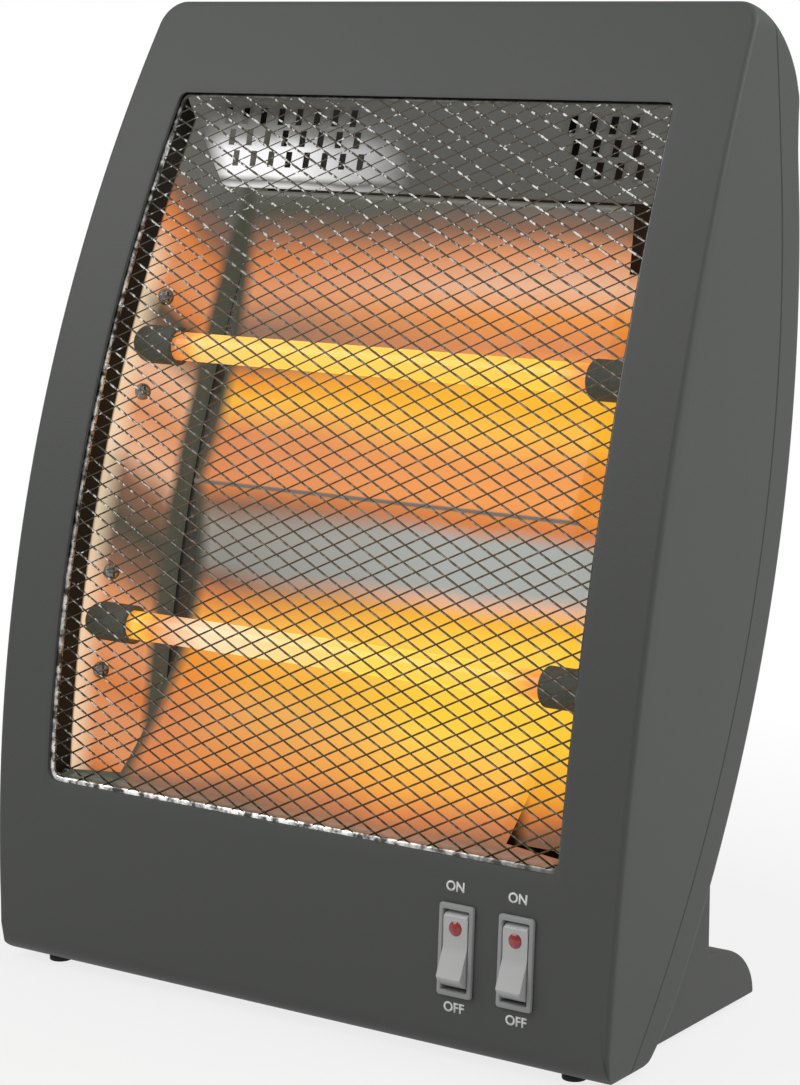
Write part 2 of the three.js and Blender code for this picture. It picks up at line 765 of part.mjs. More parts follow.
// Where a holder's collar ends, half-way into its plate.
function collarEnd(name) {
  return betweenPanels(tubeHeights[name], tubeDepth) + sheet + holderGap + holderThickness / 2;
}

function sidePanel(side) {
  const holes = [];
  for (const name of Object.keys(tubeHeights)) {
    holes.push(tubeBar(name, capRadius + gap, 0, side * reach, 12));
    const frame = panelMatrix(side, tubeHeights[name]);
    for (const z of [-holderScrewSpacing, holderScrewSpacing]) {
      holes.push(frameBar(frame, -beyond / 2, beyond / 2, z, screwShankRadius + gap, 8));
    }
  }
  const ends = [windowBottom - sheetEndMargin, windowTop + sheetEndMargin];
  return cut(solid(faceSweep(sideSection(), ...ends, side)), ...holes);
}

// Ceramic holder: a plate behind the side panel with a collar that carries the tube's end.
function tubeHolder(side, name) {
  const frame = panelMatrix(side, tubeHeights[name]);
  const near = -sheet - holderGap;
  const plate = solid(box(near - holderThickness, near, -holderHalfWidth, holderHalfWidth,
    -holderHalfHeight, holderHalfHeight).applyMatrix4(frame));
  const collar = tubeBar(name, capRadius, capReach * side, collarEnd(name) * side, 12);
  const pocketEnds = [capReach - pocketLip, tubeHalfLength + gap].map((x) => x * side);
  const pocket = tubeBar(name, tubeRadius + gap, ...pocketEnds, 12);
  const lead = tubeBar(name, wireRadius + gap, tubeHalfLength * side, reach * side, 8);
  const floor = near - holderThickness + sheet;
  const bores = [-holderScrewSpacing, holderScrewSpacing]
    .map((z) => frameBar(frame, floor, near + sheet, z, screwShankRadius + gap, 8));
  return cut(join(plate, collar), pocket, lead, ...bores);
}

// A pan-head screw along +Y from its seat at y = 0, with its head at negative y.
function screw(length) {
  const points = [
    [0, -screwHeadHeight], [screwHeadRadius - screwHeadEdge, -screwHeadHeight],
    [screwHeadRadius, screwHeadEdge - screwHeadHeight], [screwHeadRadius, 0],
    [screwShankRadius, 0], [screwShankRadius, length], [0, length],
  ].map(([radius, along]) => new THREE.Vector2(radius, along));
  return new THREE.LatheGeometry(points, 8);
}

// Hollow quartz tube.
function quartzTube(name) {
  const outer = tubeBar(name, tubeRadius, -tubeHalfLength, tubeHalfLength, 12);
  return cut(outer, tubeBar(name, tubeRadius - tubeWall, -reach, reach, 12));
}

// Heating coil: one unbroken helix of wire with a straight lead at each end.
function heatingCoil(name) {
  const centre = tubeCentre(name);
  const coilRadius = tubeRadius - tubeWall - gap - coilWireRadius;
  const stepsPerTurn = 8;
  const sides = 5;
  const count = coilTurns * stepsPerTurn;
  const leadEnd = tubeHalfLength + coilLead;
  const leadStart = coilHalfLength + coilTail;
  const route = [new THREE.Vector3(-leadEnd, 0, 0), new THREE.Vector3(-leadStart, 0, 0)];
  for (let i = 0; i <= count; i += 1) {
    const angle = (2 * Math.PI * i) / stepsPerTurn;
    const x = -coilHalfLength + (2 * coilHalfLength * i) / count;
    route.push(new THREE.Vector3(x, coilRadius * Math.cos(angle), coilRadius * Math.sin(angle)));
  }
  route.push(new THREE.Vector3(leadStart, 0, 0), new THREE.Vector3(leadEnd, 0, 0));
  const spare = leastGap(route, stepsPerTurn / 2) - 2 * coilWireRadius;
  console.log(`heating_coil_${name}: least gap to itself ${spare.toFixed(2)} mm`);
  return strand(route, coilWireRadius, sides).translate(centre.x, centre.y, centre.z);
}

// Least distance between two points of a route that are more than some steps apart.
function leastGap(route, steps) {
  let least = Infinity;
  for (let i = 0; i < route.length; i += 1) {
    for (let j = i + steps + 1; j < route.length; j += 1) {
      least = Math.min(least, route[i].distanceTo(route[j]));
    }
  }
  return least;
}

// A round strand along a route of points, with its section turned to follow the route.
function strand(route, radius, sides) {
  const positions = [];
  const start = route[1].clone().sub(route[0]).normalize();
  let across = Math.abs(start.y) > 0.9 ? new THREE.Vector3(1, 0, 0) : new THREE.Vector3(0, 1, 0);
  route.forEach((point, i) => {
    const before = route[Math.max(i - 1, 0)];
    const after = route[Math.min(i + 1, route.length - 1)];
    const along = after.clone().sub(before).normalize();
    across = across.clone().addScaledVector(along, -across.dot(along)).normalize();
    const up = new THREE.Vector3().crossVectors(along, across);
    for (let k = 0; k < sides; k += 1) {
      const angle = (2 * Math.PI * k) / sides;
      const ring = point.clone().addScaledVector(across, radius * Math.cos(angle));
      positions.push(...ring.addScaledVector(up, radius * Math.sin(angle)).toArray());
    }
  });
  return closedLoft(positions, sides, route.length);
}

// The troughs behind the tubes: two concave stretches that meet in a ridge, with a lip at the bottom.
function troughLine() {
  const stretch = (s0, d0, s1, d1, steps) => {
    const line = [];
    for (let i = 0; i <= steps; i += 1) {
      const t = i / steps;
      const bow = 4 * t * (1 - t) * (troughDepth - (d0 + d1) / 2);
      line.push([d0 + (d1 - d0) * t + bow, s0 + (s1 - s0) * t]);
    }
    return line;
  };
  const lipDepth = flangeDepth + sheet + flangeRun;
  const steps = 9;
  const lower = stretch(windowBottom + flangeRun, lipDepth, ridgeHeight, ridgeDepth, steps);
  const upper = stretch(ridgeHeight, ridgeDepth, foldHeight - 2 * gap - sheet, foldDepth + sheet, steps);
  const lip = [[flangeDepth, windowBottom - sheetEndMargin], [lipDepth, windowBottom]];
  return [...lip, ...lower, ...upper.slice(1)];
}

// A sheet of constant thickness behind a (depth, s) line.
function sheetProfile(line, thickness) {
  const offsets = line.map(([depth, s], i) => {
    const [d0, s0] = line[Math.max(i - 1, 0)];
    const [d1, s1] = line[Math.min(i + 1, line.length - 1)];
    const length = Math.hypot(d1 - d0, s1 - s0);
    return [depth + (thickness * (s1 - s0)) / length, s - (thickness * (d1 - d0)) / length];
  });
  return [...line, ...offsets.reverse()];
}

function troughs() {
  const profile = solid(faceProfile(sheetProfile(troughLine(), sheet), reach));
  const lip = windowBottom + bottomLip;
  const back = sideBackDepth + beyond;
  const narrow = solid(faceLayer(sideLipDepth, back, lip, foldHeight + beyond, troughHalfWidth));
  const wide = solid(faceLayer(0, sideLipDepth + sheet, windowBottom - beyond, lip + beyond, reach));
  const reachIn = solid(faceLayer(sideLipDepth, back, windowBottom - beyond, lip + 0.01, reach));
  return cut(profile.intersect(join(narrow, wide, reachIn)), beyondPanel(-1), beyondPanel(1));
}

// Slanted slot through the top panel, as a (x, s) prism square to the face.
function topVents() {
  const cuts = [];
  const place = (x, row) => {
    const s = foldHeight + ventRise + row * ventRowPitch;
    const w = ventWidth / 2;
    const lean = (ventSlant * ventLength) / 2;
    const top = s + ventLength;
    const corners = [[x - w - lean, s], [x + w - lean, s], [x + w + lean, top], [x - w + lean, top]];
    cuts.push(facePrism(corners, 0, sideBackDepth));
  };
  const outer = sideLipHalfWidth - ventInset;
  for (let row = 0; row < ventRows; row += 1) {
    for (let column = 0; column < ventColumns; column += 1) {
      place(column * ventPitch - outer, row);
    }
    for (let column = 0; column < ventColumns / 2; column += 1) {
      place(outer - column * ventPitch, row);
    }
  }
  return cuts;
}

// Vented panel that closes the top of the reflector.
function topPanel() {
  const line = [
    [flangeDepth, windowTop + sheetEndMargin],
    [flangeDepth + flangeRun, windowTop - sheet],
    [foldDepth, foldHeight],
  ];
  const profile = solid(faceProfile(sheetProfile(line.reverse(), sheet), reach));
  return cut(profile, beyondPanel(-1), beyondPanel(1), ...topVents());
}

// Heat shield: a steel sheet across the side panels' rear edges that backs the troughs.
const deepestTrough = Math.max(...troughLine().map(([depth]) => depth)) + sheet;
const shieldDepth = Math.max(sideBackDepth, deepestTrough) + gap;

function heatShield() {
  return solid(faceLayer(shieldDepth, shieldDepth + sheet, shieldBottom, shieldTop, shieldHalfWidth));
}

// Thermal cut-out: a round thermostat with two tabs, clipped flat on to the shield.
const cutoutFrame = new THREE.Matrix4().makeRotationX(-cutoutPlace.s / faceRadius)
  .setPosition(onFace(cutoutPlace.x, cutoutPlace.s, shieldDepth + sheet + 2 * gap));

function thermalCutout() {
  const can = barY(0, 0, cutoutRadius, 0, cutoutHeight, 16);
  const { reach: ear, thickness } = cutoutEars;
  const ears = box(-cutoutRadius - ear, cutoutRadius + ear, 0, thickness, -ear, ear);
  const floor = cutoutHeight - plugDepth - gap;
  const sockets = cutoutSockets
    .map((x) => solid(barY(x, 0, wireRadius + gap, floor, cutoutHeight + beyond, 8)));
  return cut(join(solid(can), solid(ears)), ...sockets);
}

function switchBody() {
  const flange = box(-frameWidth / 2, frameWidth / 2, -frameStand, -frameSeatGap,
    -frameLength / 2, frameLength / 2);
  const housing = box(-housingWidth / 2, housingWidth / 2, -frameStand / 2, housingDepth,
    -housingLength / 2, housingLength / 2);
  const half = switchOpeningWidth / 2;
  const end = rockerRadius + gap;
  const opening = box(-half, half, -beyond, switchOpeningDepth, -end, end);
  const pins = barX(rockerPivotDepth, 0, rockerPinRadius + gap, -housingWidth, housingWidth, 10);
  const sockets = Object.values(switchSockets).map((z) => solid(barY(0, z, wireRadius + gap,
    housingDepth - plugDepth - gap, housingDepth + beyond, 8)));
  return cut(join(solid(flange), solid(housing)), solid(opening), solid(pins), ...sockets);
}

// Rocker about its pivot at the origin, unturned: a shallow V outwards and arcs at both ends.
function rocker() {
  const endDepth = -rockerNose - rockerRise;
  const endAngle = Math.acos(-endDepth / rockerRadius);
  const arc = arcPoints(0, 0, rockerRadius, endAngle, Math.PI / 2 + 0.15, 4);
  const upper = arc.map((point) => new THREE.Vector2(-point.x, point.y));
  const lower = upper.map((point) => new THREE.Vector2(point.x, -point.y)).reverse();
  const profile = [new THREE.Vector2(-rockerNose, 0), ...upper, ...lower].reverse();
  const body = solid(acrossX(profile, -rockerWidth / 2, rockerWidth / 2));
  const pin = solid(barX(0, 0, rockerPinRadius, -housingWidth / 2, housingWidth / 2, 10));
  const pocket = solid(barY(0, 0, lensRadius + gap, -lensLength + 0.8, 9, 12).applyMatrix4(lensMatrix()));
  return cut(join(body, pin), pocket.intersect(solid(box(-9, 9, -20, 1, 1, 20))));
}

// The lens's frame on the rocker: local Y square to the upper half, inwards, and origin on its surface.
function lensMatrix() {
  const slope = Math.atan2(rockerRise, rockerRadius);
  const y = -rockerNose - lensOffset * Math.tan(slope);
  return new THREE.Matrix4().makeRotationX(slope).setPosition(0, y, lensOffset);
}

// Foot: an upright post behind the leaning casing with a rounded toe, shaped to the casing's back.
function foot(side) {
  const outline = [
    new THREE.Vector2(footFrontDepth, floorClearance),
    new THREE.Vector2(footToeDepth, floorClearance),
  ];
  for (let i = 1; i <= 6; i += 1) {
    const angle = (i / 6) * (Math.PI / 2);
    const z = floorClearance + (footToeHeight - floorClearance) * Math.sin(angle);
    outline.push(new THREE.Vector2(footPostDepth + footToe * Math.cos(angle), z));
  }
  outline.push(new THREE.Vector2(footPostDepth, footPostHeight), new THREE.Vector2(0, footPostHeight));
  outline.push(new THREE.Vector2(0, floorClearance + footTrim));
  const middle = side * footMiddle;
  const block = solid(acrossX(outline, middle - footWidth / 2, middle + footWidth / 2));
  const casing = solid(acrossX(sideOutline(-gap), -reach, reach));
  const frontTrim = solid(box(-reach, reach, -beyond, footFrontDepth - footTrim, -beyond, overallHeight));
  const bores = [];
  for (const z of footScrewHeights) {
    bores.push(solid(barY(middle, z, screwShankRadius + gap, 0, bodyDepth, 8)));
    bores.push(solid(barY(middle, z, screwHeadRadius + gap, footHeadSeat(z), bodyDepth, 12)));
  }
  const peg = footPadPlaces(side).map(([x, y]) => padHole(x, y));
  return cut(block, casing, frontTrim, ...bores, ...peg);
}

const footHeadSeat = (z) => Math.max(backDepthAt(z) + gap + screwSeat, footPostDepth - footScrewSeat);
const footPadPlaces = (side) => [[side * footMiddle, footToeDepth - padInset]];
const casingPadPlaces = Object.values(sides)
  .map((side) => [side * footMiddle, frontHeelRadius + padPegRadius + 2 * gap]);

function padHole(x, y) {
  const radius = padPegRadius + gap;
  const hole = new THREE.CylinderGeometry(radius, radius, 2 * (padPegLength + gap), 10);
  return solid(hole.rotateX(Math.PI / 2).translate(x, y, floorClearance));
}

// Rubber pad: a low disc with a peg, turned about Z.
function pad() {
  const points = [
    [0, 0], [padRadius - padEdge, 0], [padRadius, padEdge], [padRadius, floorClearance - gap],
    [padPegRadius, floorClearance - gap], [padPegRadius, floorClearance + padPegLength - gap],
    [0, floorClearance + padPegLength - gap],
  ].map(([radius, along]) => new THREE.Vector2(radius, along));
  return new THREE.LatheGeometry(points, 9).rotateX(Math.PI / 2);
}

// Plunger of the tip-over switch: a pin with a collar, drawn along Z from its tip.
function plunger() {
  const collar = floorClearance + wall + backHeelRadius / 4 + plungerTravel + gap;
  const collarTop = collar + plungerCollarHeight;
  const points = [
    [0, 0], [plungerRadius - plungerTipEdge, 0], [plungerRadius, plungerTipEdge], [plungerRadius, collar],
    [plungerCollarRadius, collar], [plungerCollarRadius, collarTop], [plungerStemRadius, collarTop],
    [plungerStemRadius, plungerLength], [0, plungerLength],
  ].map(([radius, along]) => new THREE.Vector2(radius, along));
  return new THREE.LatheGeometry(points, 14).rotateX(Math.PI / 2);
}

function tipSwitch() {
  const half = tipBody.width / 2;
  const top = tipBottom + tipBody.height;
  const body = box(-half, half, tipFrontDepth - tipBody.depth, tipFrontDepth, tipBottom, top);
  const sockets = tipSockets.map((x) => {
    const bore = new THREE.CylinderGeometry(wireRadius + gap, wireRadius + gap, 2 * (plugDepth + gap), 8);
    return solid(bore.rotateX(Math.PI / 2).translate(x, tipDepth, top));
  });
  return cut(solid(body), ...sockets);
}

// Terminal block: a moulding with three through-sockets for the wires.
const blockCentreDepth = blockFrontDepth - gap - blockBody.depth / 2;

function terminalBlock() {
  const { width, depth, height } = blockBody;
  const body = solid(box(blockPlace - width / 2, blockPlace + width / 2, blockCentreDepth - depth / 2,
    blockCentreDepth + depth / 2, blockHeight - height / 2, blockHeight + height / 2));
  const front = blockCentreDepth - depth / 2;
  const sockets = blockSockets.map((x) => solid(barY(blockPlace + x, blockHeight, wireRadius + gap,
    front - beyond, front + plugDepth + gap, 8)));
  return cut(body, ...sockets);
}

// Cord inlet bush: a sleeve with an outer flange, turned about Y, with y = 0 at its seat on the cover.
function cordBush() {
  const inner = bushInner - bushFace;
  const points = [
    [bushBore, inner], [bushSleeveRadius, inner], [bushSleeveRadius, gap], [bushRadius, gap],
    [bushRadius, 2], [bushSleeveRadius, bushStand], [bushBore, bushStand], [bushBore, inner],
  ].map(([radius, along]) => new THREE.Vector2(radius, along));
  return new THREE.LatheGeometry(points, 16);
}

// Insulated wire through points, rounded by a curve.
// Its first and last points lie in sockets, and the stretches out of the sockets are straight.
function wire(points) {
  const curve = new THREE.CatmullRomCurve3(points.slice(1, -1), false, "centripetal");
  return strand([points[0], ...curve.getSpacedPoints(11), points.at(-1)], wireRadius, 6);
}

// The end of a wire in its socket, and a place straight out of the socket.
function fromBlock(x) {
  const front = blockCentreDepth - blockBody.depth / 2;
  return [new THREE.Vector3(blockPlace + x, front + plugDepth, blockHeight),
    new THREE.Vector3(blockPlace + x, front - straightRun, blockHeight)];
}

function fromTip(x) {
  const top = tipBottom + tipBody.height;
  return [top - plugDepth, top + straightRun].map((z) => new THREE.Vector3(x, tipDepth, z));
}

function fromCutout(x) {
  return [cutoutHeight - plugDepth, cutoutHeight + straightRun]
    .map((y) => new THREE.Vector3(x, y, 0).applyMatrix4(cutoutFrame));
}

function fromSwitch(name, socket) {
  const frame = faceMatrix(switchPlaces[name], switchHeight);
  return [housingDepth - plugDepth, housingDepth + straightRun]
    .map((y) => new THREE.Vector3(0, y, switchSockets[socket]).applyMatrix4(frame));
}

function fromTube(name, side) {
  return [tubeHalfLength + coilLead + gap, collarEnd(name) + 2 * straightRun].map((x) => {
    const { y, z } = tubeCentre(name);
    return new THREE.Vector3(side * x, y, z);
  });
}

const via = (...points) => points.map((point) => new THREE.Vector3(...point));
const nearBack = (x, z, clear) => [x, backDepthAt(z, wall) - clear, z];
const nearSide = (side, y, z, clear) => [side * halfWidthAt(z, wall + clear), y, z];

// Each wire from socket to socket. The middle places keep it clear of the bosses and reflectors.
const wires = {
  supply: [...fromBlock(10), ...via([-20, tipDepth - 6, 46]), ...fromTip(-6).reverse()],
  cutout: [...fromTip(6), ...via(nearBack(5, 50, 18.6), nearBack(-26, 62, 9), nearBack(-52, 92, 6)),
    ...fromCutout(-4).reverse()],
  switches: [...fromCutout(4), ...via(nearBack(-18, 98, 6.2), nearBack(40, 68, 10)),
    ...fromSwitch("left", "input").reverse()],
  link: [...fromSwitch("left", "link"), ...via([87, 34, 26]), ...fromSwitch("right", "link").reverse()],
  lower_live: [...fromSwitch("left", "output"), ...via([104, 38, 62], nearSide(1, 38, 96, 13.6)),
    ...fromTube("lower", 1).reverse()],
  upper_live: [...fromSwitch("right", "output"),
    ...via(nearSide(1, 42, 66, 14.9), nearSide(1, 46, 120, 8), nearSide(1, 64, 190, 8)),
    ...fromTube("upper", 1).reverse()],
  lower_neutral: [...fromBlock(0),
    ...via([-62, 26, 52], nearSide(-1, 32, 62, 29), nearSide(-1, 36, 98, 12.6)),
    ...fromTube("lower", -1).reverse()],
  upper_neutral: [...fromBlock(-10),
    ...via([-80, 36, 44], nearSide(-1, 42, 66, 17), nearSide(-1, 48, 120, 7), nearSide(-1, 64, 190, 8)),
    ...fromTube("upper", -1).reverse()],
};

add("front_shell", cut(frontShell(), ...casingPadPlaces.map(([x, y]) => padHole(x, y))), "casing");
add("rear_cover", backCover(), "casing");
add("mesh_guard", guard(), "guard");
add("reflector_troughs", troughs(), "reflector");
add("reflector_top", topPanel(), "reflector");
add("heat_shield", heatShield(), "steel");
for (const [label, side] of Object.entries(sides)) {
  add(`reflector_side_${label}`, sidePanel(side), "reflector");
}

for (const name of Object.keys(tubeHeights)) {
  add(`quartz_tube_${name}`, quartzTube(name), "quartz");
  add(`heating_coil_${name}`, heatingCoil(name), "element");
  for (const [label, side] of Object.entries(sides)) {
    add(`tube_holder_${name}_${label}`, tubeHolder(side, name), "ceramic");
    const frame = panelMatrix(side, tubeHeights[name]);
    for (const [end, z] of Object.entries({ top: holderScrewSpacing, bottom: -holderScrewSpacing })) {
      const seat = new THREE.Matrix4().makeRotationZ(Math.PI / 2).setPosition(gap, 0, z);
      const geometry = screw(holderThickness).applyMatrix4(frame.clone().multiply(seat));
      add(`holder_screw_${name}_${label}_${end}`, geometry, "steel");
    }
  }
}

for (const [label, x] of Object.entries(switchPlaces)) {
  const place = facePlace(x, switchHeight);
  add(`switch_${label}_body`, switchBody(), "switchGrey", place);
  const turn = place.rotation[0] - rockerTilt;
  const pivot = new THREE.Vector3(0, rockerPivotDepth, 0).applyMatrix4(faceMatrix(x, switchHeight));
  const rockerPlace = { position: pivot, rotation: [turn, 0, 0] };
  add(`switch_${label}_rocker`, rocker(), "switchGrey", rockerPlace);
  const lens = barY(0, 0, lensRadius, -0.6, lensLength - 0.6 - gap, 12).applyMatrix4(lensMatrix());
  add(`switch_${label}_lens`, lens, "lens", rockerPlace);
}

for (const [label, side] of Object.entries(sides)) {
  add(`foot_${label}`, foot(side), "casing");
  for (const [end, z] of Object.entries({ lower: footScrewHeights[0], upper: footScrewHeights[1] })) {
    const y = footHeadSeat(z) + gap / 2;
    const length = y - backDepthAt(z) + screwBite.foot;
    const place = { position: new THREE.Vector3(side * footMiddle, y, z), rotation: [Math.PI, 0, 0] };
    add(`foot_screw_${label}_${end}`, screw(length), "steel", place);
  }
  const [footPad] = footPadPlaces(side);
  add(`pad_rear_${label}`, pad(), "rubber", { position: new THREE.Vector3(...footPad, 0) });
  const casingPad = casingPadPlaces[side > 0 ? 1 : 0];
  add(`pad_front_${label}`, pad(), "rubber", { position: new THREE.Vector3(...casingPad, 0) });
}

for (const { x, z, side } of casingBosses) {
  const end = z > overallHeight / 2 ? "top" : "bottom";
  const y = headSeatAt(z) + gap / 2;
  const place = { position: new THREE.Vector3(x, y, z), rotation: [Math.PI, 0, 0] };
  const geometry = screw(y - seamDepthAt(z) + screwBite.cover);
  add(`cover_screw_${end}_${side > 0 ? "right" : "left"}`, geometry, "steel", place);
}

add("tip_switch_body", tipSwitch(), "black");
add("tip_plunger", plunger(), "switchGrey", { position: new THREE.Vector3(0, tipDepth, plungerRest) });
add("terminal_block", terminalBlock(), "insulation");
add("thermal_cutout", thermalCutout().transform(cutoutFrame.toArray()), "steel");
add("cord_bush", cordBush(), "rubber", { position: new THREE.Vector3(bushPlace, bushFace, bushHeight) });

for (const [name, points] of Object.entries(wires)) {
  add(`wire_${name}`, wire(points), "insulation");
}

heater.updateMatrixWorld(true);
const bounds = new THREE.Box3().setFromObject(heater);
heater.position.y = -(bounds.min.y + bounds.max.y) / 2;
heater.updateMatrixWorld(true);

export default heater;
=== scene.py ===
"""A leaning tabletop radiant heater with two quartz tubes behind a mesh guard.

Every size is in millimetres in the heater's own frame, which has y = 0 on the foremost line of the face
and z = 0 on the floor; settle() turns it into the frame's metres.
"""

from math import acos, asin, atan2, cos, hypot, pi, radians, sin

import bmesh
import bpy
import numpy as np
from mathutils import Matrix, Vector


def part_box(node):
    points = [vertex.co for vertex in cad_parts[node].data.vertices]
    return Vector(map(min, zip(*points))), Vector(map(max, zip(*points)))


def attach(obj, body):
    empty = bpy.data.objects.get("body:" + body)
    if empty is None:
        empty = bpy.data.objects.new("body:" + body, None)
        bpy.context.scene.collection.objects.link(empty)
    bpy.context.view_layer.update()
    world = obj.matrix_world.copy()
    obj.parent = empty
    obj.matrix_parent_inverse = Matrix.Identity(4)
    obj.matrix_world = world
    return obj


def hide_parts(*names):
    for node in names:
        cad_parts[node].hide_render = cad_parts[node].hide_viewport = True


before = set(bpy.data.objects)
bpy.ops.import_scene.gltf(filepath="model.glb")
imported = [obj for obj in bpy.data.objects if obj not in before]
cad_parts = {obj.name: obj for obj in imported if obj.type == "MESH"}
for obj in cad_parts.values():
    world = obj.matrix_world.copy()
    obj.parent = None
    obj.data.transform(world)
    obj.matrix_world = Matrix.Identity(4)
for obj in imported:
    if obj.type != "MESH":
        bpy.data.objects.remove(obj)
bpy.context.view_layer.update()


# ---- The studio ----
# A pale floor that runs out into a white background, a broad soft lamp high on the right and a weaker
# one on the left, and the camera where the photographer stood.

class Link:
    """A socket of a node tree. Arithmetic on it adds Math nodes, and node() adds any other node."""

    def __init__(self, tree, socket=None):
        self.tree = tree
        self.socket = socket

    def node(self, kind, settings=None, values=None):
        """A node of that type: its settings first, then its sockets' values or links by name."""
        made = self.tree.nodes.new("ShaderNode" + kind)
        for name, value in (settings or {}).items():
            if name == "stops":
                ramp = made.color_ramp.elements
                while len(ramp) < len(value):
                    ramp.new(0.5)
                for element, (place, colour) in zip(ramp, value):
                    element.position = place
                    element.color = colour
            else:
                setattr(made, name, value)
        for name, value in (values or {}).items():
            socket = made.inputs[name] if isinstance(name, int) else next(
                s for s in made.inputs if s.enabled and s.name == name)
            if isinstance(value, Link):
                self.tree.links.new(value.socket, socket)
            else:
                socket.default_value = value
        shown = [s for s in made.outputs if s.enabled]
        return Link(self.tree, shown[0] if shown else None)

    def __getitem__(self, name):
        return Link(self.tree, self.socket.node.outputs[name])

    def maths(self, operation, *others):
        """A Math node that takes this socket first and then the others."""
        return self.node("Math", {"operation": operation}, dict(enumerate((self, *others))))

    def __add__(self, other):
        return self.maths("ADD", other)

    __radd__ = __add__

    def __sub__(self, other):
        return self.maths("SUBTRACT", other)

    def __rsub__(self, other):
        return self.node("Math", {"operation": "SUBTRACT"}, {0: other, 1: self})

    def __mul__(self, other):
        return self.maths("MULTIPLY", other)

    __rmul__ = __mul__

    def between(self, low, high):
        """0 below low, 1 above high, and an even rise from one to the other."""
        return self.node("MapRange", {}, {"Value": self, "From Min": low, "From Max": high})


def rgb(red, green, blue):
    """The linear colour of a colour written as it looks, from 0 to 255."""
    return tuple((c / 255 / 12.92) if c <= 10 else ((c / 255 + 0.055) / 1.055) ** 2.4
                 for c in (red, green, blue)) + (1,)


def empty_tree(owner):
    """The cleared node tree of a material or a world."""
    owner.use_nodes = True
    owner.node_tree.nodes.clear()
    return Link(owner.node_tree)


def new_finish(name):
    """A material with an empty tree, and the Object coordinates in it."""
    made = bpy.data.materials.new(name)
    return made, empty_tree(made).node("TexCoord")["Object"]


scene = bpy.context.scene
scene.view_settings.view_transform = "Standard"

full_white = (1, 1, 1, 1)
floor_paint, place = new_finish("floor paint")
path = place.node("LightPath")
seen = path["Is Camera Ray"].maths("MAXIMUM", path["Is Glossy Ray"])
white = place.node("Emission", {}, {"Color": full_white, "Strength": 1})
matt = place.node("BsdfDiffuse", {}, {"Color": rgb(196, 196, 195)})
away = place.node("VectorMath", {"operation": "LENGTH"}, {0: place})["Value"]
blend = seen * (0.8 + away.between(0.2, 0.5) * 0.2)
place.node("OutputMaterial", {}, {"Surface": place.node("MixShader", {}, {0: blend, 1: matt, 2: white})})

square = ((-1, -1), (1, -1), (1, 1), (-1, 1))
half_floor = 9
floor_mesh = bpy.data.meshes.new("floor")
floor_mesh.from_pydata([(u * half_floor, v * half_floor, 0) for u, v in square], [], [(0, 1, 2, 3)])
floor_mesh.materials.append(floor_paint)
floor = bpy.data.objects.new("floor", floor_mesh)
scene.collection.objects.link(floor)

scene.world = bpy.data.worlds.new("studio")
sky = empty_tree(scene.world)
path = sky.node("LightPath")
seen = path["Is Camera Ray"].maths("MAXIMUM", path["Is Transmission Ray"])
lit = 0.47 + seen * 0.53
sky.node("OutputWorld", {}, {"Surface": sky.node("Background", {}, {"Color": full_white, "Strength": lit})})


def aimed(name, data, place, direction):
    """A lamp or camera at a place, looking along a direction."""
    made = bpy.data.objects.new(name, data)
    made.location = place
    made.rotation_mode = "QUATERNION"
    made.rotation_quaternion = direction.to_track_quat("-Z", "Y")
    scene.collection.objects.link(made)
    return made


lamp_size, lit_point = 0.8, Vector((0, 0, 0.3))
for name, place, power in (("right lamp", (1, 0.35, 1.1), 12), ("left lamp", (-0.62, -0.66, 0.95), 6.2)):
    lamp = bpy.data.lights.new(name, "AREA")
    lamp.size = lamp_size
    lamp.energy = power
    aimed(name, lamp, place, lit_point - Vector(place))

aim, distance = Vector((0.03001, -0.06364, 0.18927)), 1.08033
back = Vector((0.5671, -0.8057, 0.1707)).normalized()
lens = bpy.data.cameras.new("camera")
lens.sensor_width = 36
lens.lens = 100.7
lens.shift_x = 0.0477
lens.shift_y = -0.0106
lens.clip_start = 0.05
scene.camera = aimed("camera", lens, aim + back * distance, -back)


# ---- Front shell ----
# The bezel and side walls, one injection moulding in dark grey plastic with a fine matt grain. Its face
# is an arc seen from the side, rolled under at the foot, its sides bow outwards, and a rebate behind
# the window holds the guard.

face_radius = 700
face_centre = 4
overall_height = 375.5
body_depth = 133
floor_gap = 2.6
heel = 10
top_edge = 29
wall = 2.6
gap = 0.3
window_low, window_high = 75.5, 339.6
side_bezel = 25.4
bottom_half, side_taper, side_bow = 138.8, 4.6, 24
back_radius, back_top = 540, 312
casing_corners, window_corners = (4, 10), (5, 3)
edge, foot_edge = 2, 0.3
seam_inset, seam_step = 16, 0.4
rebate, rebate_depth, window_round = 7.3, 1.4, 0.45
front_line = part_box("front_shell")[0].y


def settle(points):
    """Millimetres in the heater's frame to metres in the row frame."""
    return np.asarray(points, float).reshape(-1, 3) * 0.001 + (0, front_line, 0)


def grid_faces(rows, columns, loop=False):
    """Quads between neighbours of a grid stored row by row; loop joins each row's end to its start."""
    row, column = np.meshgrid(np.arange(rows - 1), np.arange(columns - (not loop)), indexing="ij")
    after = (column + 1) % columns
    here, there = row * columns, (row + 1) * columns
    return np.stack([here + column, here + after, there + after, there + column], -1).reshape(-1, 4)


def soften(made, sharp):
    """Smooth shading, with a crease wherever two faces meet at more than the sharp angle."""
    mesh = made.data
    mesh.polygons.foreach_set("use_smooth", np.ones(len(mesh.polygons), bool))
    mesh.set_sharp_from_angle(angle=radians(sharp))


def weld(mesh, distance, outwards=False):
    """Joins the points that lie within the distance, and turns a closed shape's faces outwards."""
    shape = bmesh.new()
    shape.from_mesh(mesh)
    bmesh.ops.remove_doubles(shape, verts=shape.verts, dist=distance)
    bmesh.ops.dissolve_degenerate(shape, edges=shape.edges, dist=1e-6)
    if outwards:
        bmesh.ops.recalc_face_normals(shape, faces=shape.faces)
    shape.to_mesh(mesh)
    shape.free()


